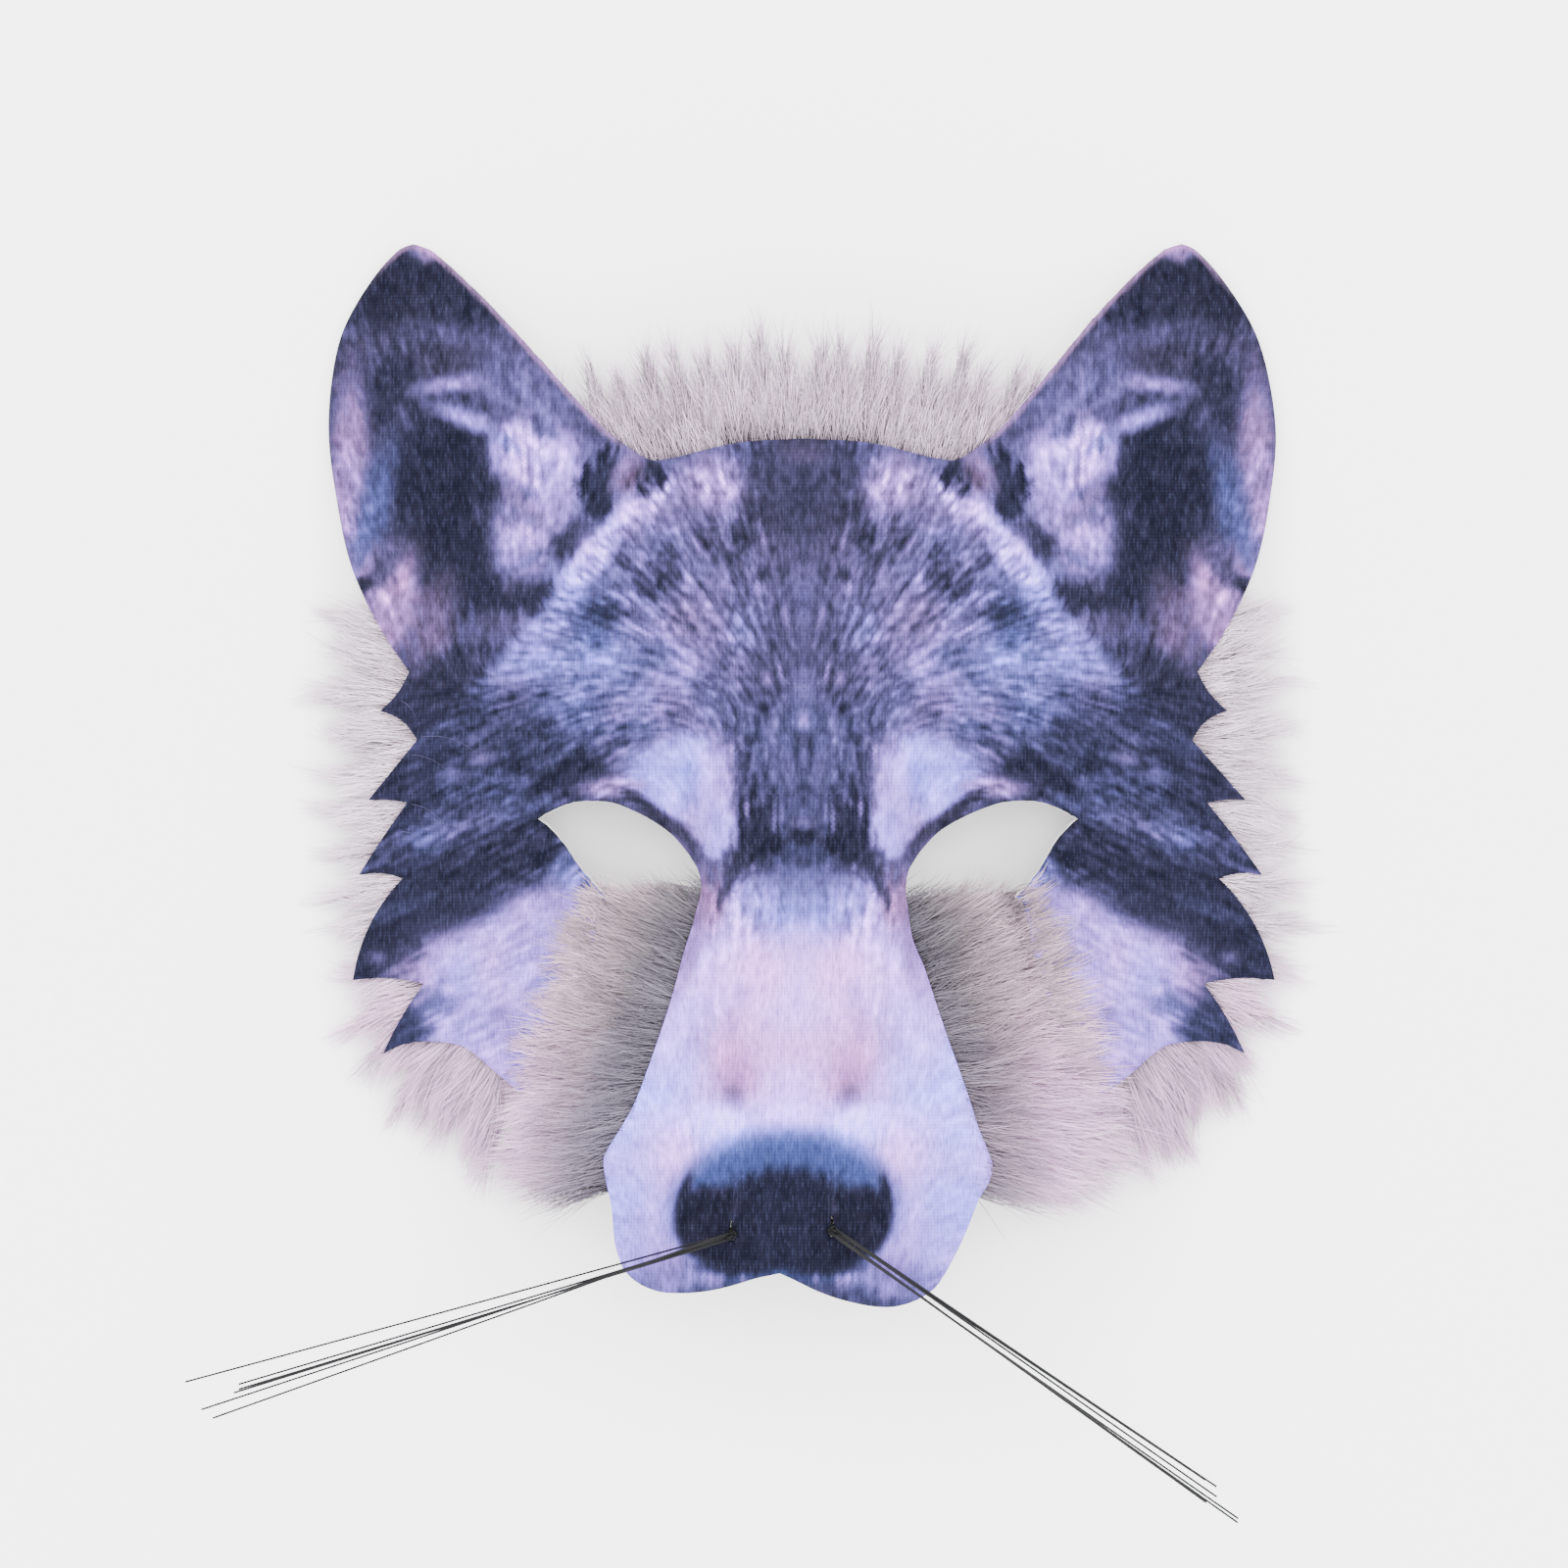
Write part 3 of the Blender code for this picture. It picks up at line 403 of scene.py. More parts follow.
FACE_MARKS = [
    # (out, up, half_wide, half_high, turn, soft, tone, warm, strength)
    (45, -15.5, 7, 3.2, 50, 0.50, 0.74, 0.10, 0.9),
    (33, 61, 10, 3.8, -36, 0.50, 0.86, 0.05, 0.95),
    (44, 50, 12, 3.8, -52, 0.50, 0.88, 0.00, 0.95),
    (54, 34, 11, 4.6, -50, 0.60, 0.78, -0.20, 0.9),
    (18.5, 65.5, 7.0, 5.5, 0, 0.50, 0.76, 0.35, 0.9),
    (26, 59, 9, 3.6, -30, 0.70, 0.66, 0.30, 0.7),
    (31, 67.5, 3.0, 3.4, 30, 0.60, 0.14, 0.05, 0.9),
    (0, 62, 9, 11, 0, 0.70, 0.20, 0.10, 0.6),
    (0, 71.5, 5, 2.4, 0, 0.80, 0.44, 0.60, 0.6),
    (13, 52, 6, 5, -40, 0.80, 0.32, 0.10, 0.6),
    (29.5, 47, 3.6, 3.6, 0, 0.80, 0.22, 0.00, 0.8),
    (19.5, 54.5, 3.0, 3.6, 0, 0.80, 0.26, 0.10, 0.7),
    (41.5, 38.5, 4.5, 2.6, -20, 0.80, 0.28, -0.35, 0.8),
    (34, 49, 2.6, 4, 30, 0.80, 0.40, 0.00, 0.5),
    (18, 41, 5, 6, 0, 0.90, 0.64, 0.25, 0.6),
    (30, 36, 7, 5, 0, 0.90, 0.64, 0.05, 0.5),
    (24, 28.6, 3.6, 2.6, 0, 0.70, 0.86, 0.05, 0.85),
    (30, 22, 7, 4.2, -20, 0.80, 0.72, 0.00, 0.7),
    (6, 31, 4, 7, 0, 0.80, 0.32, 0.00, 0.6),
    (46, 29, 12, 2.4, -8, 0.80, 0.70, -0.50, 0.6),
    (50, 20, 11, 2.0, -10, 0.80, 0.48, -0.50, 0.6),
    (60, 27, 8, 2.4, -14, 0.80, 0.68, -0.40, 0.6),
    (36, 15, 9, 2.0, -6, 0.80, 0.52, -0.50, 0.6),
    (76, 24, 9, 7, -20, 0.60, 0.15, -0.10, 0.9),
    (68, 18, 8, 4, -16, 0.80, 0.28, -0.25, 0.6),
    (47, 6.5, 9, 4.6, -8, 0.50, 0.10, -0.15, 0.95),
    (41, 11.5, 6.5, 2.4, 0, 0.70, 0.22, -0.30, 0.8),
    (35, 9, 4, 2.6, 0, 0.80, 0.58, -0.50, 0.6),
    (60, 10, 10, 3, -6, 0.80, 0.24, -0.25, 0.6),
    (65.5, 9.5, 2.4, 1.8, 0, 0.80, 0.60, -0.10, 0.7),
    (72.5, 5.5, 2.6, 1.8, 0, 0.80, 0.58, -0.15, 0.7),
    (58, 4.5, 2.8, 1.4, 0, 0.80, 0.54, -0.10, 0.6),
    (78, 12, 5, 2.0, -20, 0.80, 0.42, -0.30, 0.6),
    (84, 3, 5, 3, -20, 0.70, 0.16, -0.20, 0.8),
    (64, -2, 10, 2.6, -14, 0.80, 0.46, -0.20, 0.6),
    (76, -7, 7, 3.2, -16, 0.80, 0.48, -0.50, 0.7),
    (57, -9, 9, 5.5, -24, 0.50, 0.11, -0.10, 0.95),
    (70, -19, 12, 6, -24, 0.60, 0.13, -0.15, 0.9),
    (84, -13, 6, 5, 0, 0.60, 0.15, -0.20, 0.8),
    (84, -22, 8, 1.6, -20, 0.80, 0.32, -0.40, 0.6),
    (23.4, 5.0, 9.0, 9.0, 0, 0.40, 0.88, -0.30, 1.0),
    (31, 7, 6, 5, 0, 0.80, 0.82, -0.30, 0.8),
    (18.4, -3.5, 4.8, 8.6, -20, 0.32, 0.84, -0.20, 1.0),
    (23.5, 4, 2.4, 5, 8, 0.90, 0.76, -0.75, 0.6),
    (39, 3.4, 6.5, 2.0, -4, 0.60, 0.82, 0.40, 0.9),
    (29, -3.4, 8.6, 1.7, 37, 0.50, 0.20, 0.15, 1.0),
    (12.6, 7, 2.0, 8, 0, 0.70, 0.28, -0.20, 0.7),
    (9.2, -6, 4.2, 8.0, 0, 0.45, 0.09, -0.10, 1.0),
    (13, -12, 3.6, 3.6, 30, 0.60, 0.14, 0.00, 0.9),
    (0, -6.8, 4.6, 1.4, 0, 0.60, 0.10, -0.05, 0.95),
    (0, -12.0, 3.4, 1.2, 0, 0.70, 0.18, -0.20, 0.8),
    (0, -3.6, 3.0, 1.4, 0, 0.80, 0.50, 0.10, 0.6),
    (0, 2.0, 3.4, 3.6, 0, 0.70, 0.30, -0.25, 0.7),
    (0, 17, 1.3, 2.2, 0, 0.60, 0.74, 0.00, 0.9),
    (0, 13, 0.9, 1.4, 0, 0.60, 0.22, 0.00, 0.9),
    (6.5, 15, 1.4, 4.0, 4, 0.70, 0.66, -0.10, 0.6),
    (3.5, 8, 1.1, 3.6, -4, 0.70, 0.66, -0.15, 0.6),
    (8, 6, 1.2, 3.0, 6, 0.70, 0.60, -0.25, 0.6),
    (46.5, -15.5, 5.0, 6.0, 0, 0.50, 0.66, -0.50, 0.9),
    (54, -24, 9, 6, -26, 0.50, 0.82, 0.20, 0.9),
    (50.5, -36, 3.2, 4, 0, 0.90, 0.68, -0.20, 0.7),
    (43, -32, 3.0, 6, 10, 0.70, 0.70, -0.30, 0.6),
    (56, -32, 12, 2.2, 20, 0.80, 0.80, 0.30, 0.4),
    (71, -34, 5.5, 6, 0, 0.60, 0.84, -0.15, 0.8),
    (62, -46, 12, 4, 0, 0.80, 0.78, 0.00, 0.6),
    (54, -53, 9, 6, 0, 0.70, 0.78, 0.25, 0.8),
    (84, -46, 6.5, 6.5, -20, 0.50, 0.26, -0.35, 1.0),
    (76, -41, 3.5, 3.0, 0, 0.70, 0.56, -0.40, 0.8),
    (87.5, -31.6, 2.2, 1.6, 0, 0.80, 0.52, 0.00, 0.8),
]
MUZZLE_MARKS = [
    # (out, up, half_wide, half_high, turn, soft, tone, warm, strength)
    (0, -60, 60, 46, 0, 0.05, 0.93, 0.10, 1.0),
    (0, -19, 16, 7, 0, 0.50, 0.76, -0.35, 0.9),
    (0, -17, 7, 4, 0, 0.80, 0.60, -0.40, 0.8),
    (7, -22, 4, 4, 0, 0.90, 0.70, -0.30, 0.6),
    (0, -30, 6, 4, 0, 0.90, 0.82, -0.10, 0.6),
    (0, -41, 17, 13, 0, 0.70, 0.94, 0.55, 0.9),
    (19, -19, 3.4, 9, 6, 0.50, 0.68, 0.80, 1.0),
    (15.4, -16, 1.3, 5.0, 22, 0.60, 0.16, 0.10, 0.95),
    (18.5, -15, 1.4, 3.0, 0, 0.80, 0.44, 0.70, 0.7),
    (23, -29, 2.6, 8, 8, 0.60, 0.70, 0.70, 0.9),
    (26.5, -38, 2.2, 8, 10, 0.70, 0.78, 0.30, 0.7),
    (12, -50, 7.5, 8, 0, 0.80, 0.84, 0.80, 0.8),
    (11, -57, 3.6, 5.5, -20, 0.90, 0.72, 0.90, 0.8),
    (11.5, -59.5, 1.6, 2.6, -20, 0.90, 0.50, 0.60, 0.9),
    (31, -56, 9, 18, 12, 0.70, 0.91, -0.40, 0.9),
    (36, -74, 8, 14, 0, 0.70, 0.89, -0.35, 0.8),
    (0, -65, 23, 5.5, 0, 0.60, 0.97, -0.35, 0.9),
    (34, -90, 11, 13, 0, 0.60, 0.86, -0.15, 0.9),
    (22, -99, 12, 7, -12, 0.60, 0.66, -0.30, 0.9),
    (8, -99.5, 14, 4.0, -14, 0.60, 0.34, -0.30, 0.9),
    (20, -103, 10, 3.0, -8, 0.70, 0.36, -0.30, 0.9),
    (0, -95, 5.5, 4.5, 0, 0.60, 0.18, -0.20, 0.95),
    (0, -81.5, 22.4, 15.6, 0, 0.20, 0.50, -1.00, 0.95),
    (0, -83.0, 20.0, 12.5, 0, 0.40, 0.40, -1.00, 0.9),
    (0, -84.0, 16.0, 10.0, 0, 0.26, 0.05, -0.20, 1.0),
    (15.4, -84.6, 6.4, 7.2, -20, 0.24, 0.03, 0.00, 1.0),
    (10, -86, 10, 7.4, 0, 0.24, 0.04, 0.00, 1.0),
    (20.4, -79, 1.2, 4.5, 14, 0.60, 0.10, -0.20, 0.9),
    (3.5, -86, 2.2, 8.0, 0, 0.90, 0.15, -0.40, 0.6),
    (8, -93, 8, 2.2, -4, 0.50, 0.08, -0.20, 0.9),
]


def laid_over(ground, x, y, rows, ragged):
    """The rows' soft ellipses laid over a ground of tone, warmth and a last value."""
    for out, up, half_wide, half_high, turn, soft, tone, warm, last in rows:
        c, s = math.cos(math.radians(turn)), math.sin(math.radians(turn))
        along, across = (x - out) * c + (y - up) * s, (y - up) * c - (x - out) * s
        away = np.hypot(along / half_wide, across / half_high)
        worn = away + ragged * min(0.20, 0.06 + 0.5 / min(half_wide, half_high))
        cover = smooth_step(1 + 0.9 * soft, 1 - soft, worn)
        values = [tone, warm, last] if len(ground) == 3 else [tone, warm]
        strength = 1.0 if len(ground) == 3 else last
        for field, value in zip(ground, values):
            field += (value - field) * cover * strength
    return ground


def print_colours(x, y):
    """Dye colours at places of the sheet, as they look under even light, from 0 to 1."""
    on_flap = smooth_step(BRIDGE_Y + 4, BRIDGE_Y - 4, y) * smooth_step(44, 42, np.abs(x))
    across = x - MUZZLE_LEAN * (y - BRIDGE_Y) * on_flap
    across = np.abs(across)
    streak = read_grid(STREAKS, across, y)
    fleck = read_grid(FLECKS, across, y)
    blotch = read_grid(BLOTCHES, across, y)
    ragged = 0.7 * streak + 0.5 * blotch
    tone, warm, mottle = (np.full(len(x), start) for start in (0.4, 0.0, 0.1))
    laid_over([tone, warm, mottle], across, y, GROUNDS, ragged)
    laid_over([tone, warm], across, y, FACE_MARKS, ragged)
    in_ear = smooth_step(-1.6, 1.6, 0.793 * across + 0.61 * y - 66.4 + 0.9 * ragged)
    in_ear *= smooth_step(19, 27, y)
    ear_tone, ear_warm = tone.copy(), warm.copy()
    laid_over([ear_tone, ear_warm], across, y, EAR_MARKS, ragged)
    tone += (ear_tone - tone) * in_ear
    warm += (ear_warm - warm) * in_ear
    mottle += (0.08 - mottle) * in_ear
    flap_tone, flap_warm = tone.copy(), warm.copy()
    calm = 0.08 + 0.6 * smooth_step(-30, -20, y) + 0.5 * smooth_step(-92, -98, y)
    laid_over([flap_tone, flap_warm], across, y, MUZZLE_MARKS, calm * ragged)
    flap = smooth_step(-10.5, -18.0, y + 1.6 * ragged) * smooth_step(46, 42, np.abs(x))
    tone += (flap_tone - tone) * flap
    warm += (flap_warm - warm) * flap
    in_nose = smooth_step(1.1, 0.8, np.hypot(across / 21, (y + 84) / 12))
    busy = 0.024 + 0.05 * smooth_step(-32, -22, y) + 0.02 * smooth_step(-92, -98, y) + 0.05 * in_nose
    mottle += (busy - mottle) * flap
    mottle *= 0.6 + 0.4 * smooth_step(1, 8, across)
    mixed = 0.55 * fleck + 0.75 * streak + 0.35 * blotch
    tone += mottle * mixed * (0.6 + 0.4 * smooth_step(0.02, 0.3, tone))
    warm += (0.04 + 0.11 * smooth_step(0.3, 0.6, tone)) * read_grid(TINTS, across / 4, y / 4)
    return dyed(np.clip(tone, 0, 1), np.clip(warm, -1, 1))


TONES = [0.0, 0.25, 0.5, 0.75, 1.0]
DYES = {
    # (tone 0, 0.25, 0.5, 0.75, 1), as red, green and blue out of 255
    -1: [(20, 25, 50), (48, 64, 112), (95, 118, 178), (160, 178, 226), (216, 225, 249)],
    0: [(26, 29, 52), (68, 69, 103), (118, 115, 164), (176, 166, 212), (226, 217, 241)],
    1: [(40, 34, 52), (94, 82, 108), (150, 126, 164), (202, 176, 211), (237, 219, 237)],
}


def dyed(tone, warm):
    """The dye's colour for a tone and a warmth."""
    inks = {key: np.array(rows) / 255 for key, rows in DYES.items()}
    colour = np.empty((len(tone), 3))
    for band in range(3):
        blue, plain, pink = (np.interp(tone, TONES, inks[key][:, band]) for key in (-1, 0, 1))
        colour[:, band] = np.where(
            warm < 0, plain + (blue - plain) * -warm, plain + (pink - plain) * warm
        )
    return colour


def reflectance(seen):
    """The reflectance whose picture under this scene's light has the wanted display colour."""
    seen = np.clip(np.asarray(seen, float), 0.0, 0.97)
    light = 0.188 * seen**1.1 / (1.03 - seen) ** 1.42
    green_share = light[..., 1] / np.sqrt(light[..., 0] * light[..., 2])
    light[..., 1] *= green_share**0.33
    return np.clip(light / LIGHT_LEVEL, 0.0015, 0.95)


LIGHT_LEVEL = 5.4
STREAKS = combed_noise(2.4, 1, 1)
FLECKS = combed_noise(0.7, 2, 2)
BLOTCHES = combed_noise(1.5, 14, 3)
TINTS = combed_noise(0.6, 12, 4)

dye = print_colours(fine[:, 0], fine[:, 1])
# The dye stops a little short of the cut along the ears' inner edges
pink_rim = smooth_step(1.3, 0.4, from_rim) * smooth_step(62, 68, fine[:, 1])
pink_rim *= smooth_step(34, 40, np.abs(fine[:, 0])) * smooth_step(90, 84, np.abs(fine[:, 0]))
dye += (np.array([0.83, 0.72, 0.84]) - dye) * (0.75 * pink_rim)[:, None]

fine[:, 2] -= ROLLED_EDGE * smooth_step(0.9, 0.0, from_rim)
coarse_count = len(coarse)
rim_depth = PLUSH_SHARE * SHEET
all_places = [fine]
wall_plush = []
wall_foam = []
offset = len(fine)
back_places = coarse - SHEET * leaning[:coarse_count]
for loop in border_loops(fine_front):
    ring = fine[loop] - rim_depth * leaning[loop]
    start = offset
    all_places.append(ring)
    offset += len(loop)
    count = len(loop)
    for i in range(count):
        j = (i + 1) % count
        wall_plush.append((loop[i], start + i, start + j, loop[j]))
    stops = [i for i in range(count) if loop[i] < coarse_count]
    for stop, after in zip(stops, stops[1:] + [stops[0] + count]):
        a, b = loop[stop], loop[after % count]
        half = (stop + after) // 2
        for i in range(stop, after):
            foot = a if i < half else b
            wall_foam.append((start + i % count, ("back", foot), start + (i + 1) % count))
        wall_foam.append((("back", a), ("back", b), start + half % count))
back_start = offset
wall_foam = [
    tuple(back_start + item[1] if isinstance(item, tuple) else item for item in face) for face in wall_foam
]
all_places.append(back_places)
sheet_places = (np.concatenate(all_places) + eye_line) * MM
back_faces = (coarse_front[:, ::-1] + back_start).tolist()
sheet_faces = fine_front.tolist() + wall_plush + wall_foam + back_faces
sheet_mesh = bpy.data.meshes.new("face_plush")
sheet_mesh.from_pydata(sheet_places.tolist(), [], sheet_faces)
face_plush = bpy.data.objects.new("face_plush", sheet_mesh)
bpy.context.scene.collection.objects.link(face_plush)
material_rows = np.zeros(len(sheet_faces), np.int32)
material_rows[len(fine_front) + len(wall_plush):] = 1
ring_dye = np.concatenate([dye[loop] for loop in border_loops(fine_front)])
all_dye = np.concatenate([dye, ring_dye, np.full((coarse_count, 3), 0.8)])
paint = sheet_mesh.attributes.new("dye", "FLOAT_COLOR", "POINT")
paint.data.foreach_set("color", np.c_[reflectance(all_dye), np.ones(len(all_dye))].ravel())
sheet_mesh.shade_smooth()
sheet_mesh.set_sharp_from_angle(angle=math.radians(60))


def new_material(name, roughness):
    """A material with a Principled shader, and its node tree."""
    made = bpy.data.materials.new(name)
    made.use_nodes = True
    shader = made.node_tree.nodes["Principled BSDF"]
    shader.inputs["Roughness"].default_value = roughness
    shader.inputs["Specular IOR Level"].default_value = 0.06
    return made, made.node_tree, shader


def link(tree, source, output, target, socket):
    """One wire between two nodes."""
    tree.links.new(source.outputs[output], target.inputs[socket])


def pile_group():
    """A node group for short pile on a fine knit: a light-and-dark mask and a height."""
    group = bpy.data.node_groups.new("short_pile", "ShaderNodeTree")
    for name, start in (("Pile Width", 0.00045), ("Pile Length", 0.0024), ("Knit Pitch", 0.00066)):
        socket = group.interface.new_socket(name, in_out="INPUT", socket_type="NodeSocketFloat")
        socket.default_value = start
    for name in ("Shade", "Height"):
        group.interface.new_socket(name, in_out="OUTPUT", socket_type="NodeSocketFloat")
    nodes = group.nodes
    given, put = nodes.new("NodeGroupInput"), nodes.new("NodeGroupOutput")
    place = nodes.new("ShaderNodeTexCoord")
    apart = nodes.new("ShaderNodeSeparateXYZ")
    link(group, place, "Object", apart, "Vector")

    def sum_of(operation, a, b):
        node = nodes.new("ShaderNodeMath")
        node.operation = operation
        for socket, value in zip(node.inputs, (a, b)):
            if isinstance(value, (int, float)):
                socket.default_value = value
            elif value is not None:
                group.links.new(value, socket)
        return node.outputs[0]

    across = sum_of("DIVIDE", apart.outputs["X"], given.outputs["Pile Width"])
    along = sum_of("DIVIDE", apart.outputs["Y"], given.outputs["Pile Length"])
    joined = nodes.new("ShaderNodeCombineXYZ")
    group.links.new(across, joined.inputs["X"])
    group.links.new(along, joined.inputs["Y"])
    hairs = nodes.new("ShaderNodeTexNoise")
    hairs.inputs["Scale"].default_value = 1.0
    hairs.inputs["Detail"].default_value = 3.0
    hairs.inputs["Roughness"].default_value = 0.65
    group.links.new(joined.outputs["Vector"], hairs.inputs["Vector"])
    turns = sum_of("DIVIDE", 2 * math.pi, given.outputs["Knit Pitch"])
    waves = [
        sum_of("SINE", sum_of("MULTIPLY", apart.outputs[axis], turns), None) for axis in ("X", "Y")
    ]
    knit = sum_of("MULTIPLY", sum_of("ADD", waves[0], waves[1]), 0.035)
    shade = sum_of("ADD", hairs.outputs["Fac"], knit)
    group.links.new(shade, put.inputs["Shade"])
    group.links.new(shade, put.inputs["Height"])
    return group


short_pile = pile_group()


def plush_material():
    """The print's dye, broken up by the pile, with a few paler fibre tips in the dark."""
    made, tree, shader = new_material("printed_plush", 1.0)
    nodes = tree.nodes
    ink = nodes.new("ShaderNodeAttribute")
    ink.attribute_name = "dye"
    pile = nodes.new("ShaderNodeGroup")
    pile.node_tree = short_pile
    contrast = nodes.new("ShaderNodeMapRange")
    contrast.inputs["From Min"].default_value = 0.28
    contrast.inputs["From Max"].default_value = 0.72
    contrast.inputs["To Min"].default_value = 0.62
    contrast.inputs["To Max"].default_value = 1.38
    link(tree, pile, "Shade", contrast, "Value")
    scaled = nodes.new("ShaderNodeVectorMath")
    scaled.operation = "SCALE"
    link(tree, ink, "Color", scaled, 0)
    link(tree, contrast, "Result", scaled, "Scale")
    tips = nodes.new("ShaderNodeMapRange")
    tips.inputs["From Min"].default_value = 0.54
    tips.inputs["From Max"].default_value = 0.78
    tips.inputs["To Max"].default_value = 0.22
    link(tree, pile, "Shade", tips, "Value")
    lifted = nodes.new("ShaderNodeMix")
    lifted.data_type = "RGBA"
    lifted.inputs["B"].default_value = (0.045, 0.055, 0.12, 1)
    link(tree, tips, "Result", lifted, "Factor")
    link(tree, scaled, "Vector", lifted, "A")
    link(tree, lifted, "Result", shader, "Base Color")
    bump = nodes.new("ShaderNodeBump")
    bump.inputs["Strength"].default_value = 0.35
    bump.inputs["Distance"].default_value = 0.00015
    link(tree, pile, "Height", bump, "Height")
    link(tree, bump, "Normal", shader, "Normal")
    return made


def foam_material():
    """Pale foam with a fine open grain."""
    made, tree, shader = new_material("pale_foam", 0.95)
    grain = tree.nodes.new("ShaderNodeTexNoise")
    grain.inputs["Scale"].default_value = 2600.0
    place = tree.nodes.new("ShaderNodeTexCoord")
    link(tree, place, "Object", grain, "Vector")
    ramp = tree.nodes.new("ShaderNodeValToRGB")
    ramp.color_ramp.elements[0].color = (0.50, 0.50, 0.50, 1)
    ramp.color_ramp.elements[1].color = (0.78, 0.77, 0.76, 1)
    link(tree, grain, "Fac", ramp, "Fac")
    link(tree, ramp, "Color", shader, "Base Color")
    bump = tree.nodes.new("ShaderNodeBump")
    bump.inputs["Strength"].default_value = 0.5
    bump.inputs["Distance"].default_value = 0.0001
    link(tree, grain, "Fac", bump, "Height")
    link(tree, bump, "Normal", shader, "Normal")
    return made


sheet_mesh.materials.append(plush_material())
sheet_mesh.materials.append(foam_material())
sheet_mesh.polygons.foreach_set("material_index", material_rows)
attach(face_plush, "root")
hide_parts("face_panel")

# Crown fur
# A strip of grey long-pile faux fur glued behind the forehead, combed up between the ears.
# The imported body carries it; the strands are tapered threads rooted on that body.
STRAND_SIDES = 3
STRAND_POINTS = 4
sheet_surface = surface_under(fine, fine_front)


def strand_tree():
    """Geometry nodes that turn drawn lines into closed tapering threads."""
    tree = bpy.data.node_groups.new("threads", "GeometryNodeTree")
    face = tree.interface
    face.new_socket("Geometry", in_out="INPUT", socket_type="NodeSocketGeometry")
    face.new_socket("Thickness", in_out="INPUT", socket_type="NodeSocketFloat")
    face.new_socket("Sides", in_out="INPUT", socket_type="NodeSocketInt")
    face.new_socket("Finish", in_out="INPUT", socket_type="NodeSocketMaterial")
    face.new_socket("Geometry", in_out="OUTPUT", socket_type="NodeSocketGeometry")
    nodes = tree.nodes
    given, put = nodes.new("NodeGroupInput"), nodes.new("NodeGroupOutput")
    lines = nodes.new("GeometryNodeMeshToCurve")
    taper = nodes.new("GeometryNodeInputNamedAttribute")
    taper.data_type = "FLOAT"
    taper.inputs["Name"].default_value = "taper"
    wide = nodes.new("ShaderNodeMath")
    wide.operation = "MULTIPLY"
    radius = nodes.new("GeometryNodeSetCurveRadius")
    section = nodes.new("GeometryNodeCurvePrimitiveCircle")
    section.inputs["Radius"].default_value = 1.0
    sweep = nodes.new("GeometryNodeCurveToMesh")
    sweep.inputs["Fill Caps"].default_value = True
    real = nodes.new("GeometryNodeRealizeInstances")
    smooth = nodes.new("GeometryNodeSetShadeSmooth")
    finish = nodes.new("GeometryNodeSetMaterial")
    link(tree, given, "Geometry", lines, "Mesh")
    link(tree, lines, "Curve", radius, "Curve")
    link(tree, taper, "Attribute", wide, 0)
    link(tree, given, "Thickness", wide, 1)
    link(tree, wide, "Value", radius, "Radius")
    link(tree, given, "Sides", section, "Resolution")
    link(tree, radius, "Curve", sweep, "Curve")
    link(tree, section, "Curve", sweep, "Profile Curve")
    if "Scale" in sweep.inputs:
        link(tree, wide, "Value", sweep, "Scale")
    link(tree, sweep, "Mesh", smooth, "Geometry")
    link(tree, smooth, "Geometry", real, "Geometry")
    link(tree, real, "Geometry", finish, "Geometry")
    link(tree, given, "Finish", finish, "Material")
    link(tree, finish, "Geometry", put, "Geometry")
    return tree


threads = strand_tree()


def socket_id(tree, name):
    """The identifier of a node tree's input."""
    return next(
        item.identifier
        for item in tree.interface.items_tree
        if item.name == name and getattr(item, "in_out", "") == "INPUT"
    )


def thread_piece(name, lines, tapers, colours, thickness, finish, sides=STRAND_SIDES):
    """Lines of points made into threads, as one piece that rides on the mask."""
    count, points = lines.shape[:2]
    row = np.arange(count * points).reshape(count, points)
    pairs = np.stack([row[:, :-1], row[:, 1:]], axis=2).reshape(-1, 2)
    mesh = bpy.data.meshes.new(name + "_lines")
    mesh.from_pydata(((lines.reshape(-1, 3) + eye_line) * MM).tolist(), pairs.tolist(), [])
    taper = mesh.attributes.new("taper", "FLOAT", "POINT")
    taper.data.foreach_set("value", np.broadcast_to(tapers, (count, points)).ravel())
    tint = mesh.attributes.new("tint", "FLOAT_COLOR", "POINT")
    tint.data.foreach_set("color", np.c_[colours.reshape(-1, 3), np.ones(count * points)].ravel())
    drawn = bpy.data.objects.new(name + "_lines", mesh)
    bpy.context.scene.collection.objects.link(drawn)
    grow = drawn.modifiers.new("threads", "NODES")
    grow.node_group = threads
    grow[socket_id(threads, "Thickness")] = thickness * MM
    grow[socket_id(threads, "Sides")] = sides
    grow[socket_id(threads, "Finish")] = finish
    graph = bpy.context.evaluated_depsgraph_get()
    made = bpy.data.meshes.new_from_object(drawn.evaluated_get(graph))
    made.name = name
    bpy.data.objects.remove(drawn)
    piece = bpy.data.objects.new(name, made)
    bpy.context.scene.collection.objects.link(piece)
    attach(piece, "root")
    return piece


FUR_ROUGHNESS = 0.6


def thread_material():
    """Faux fur's threads, each in its own colour from root to tip."""
    made, tree, shader = new_material("fur_strands", FUR_ROUGHNESS)
    tint = tree.nodes.new("ShaderNodeAttribute")
    tint.attribute_name = "tint"
    link(tree, tint, "Color", shader, "Base Color")
    return made


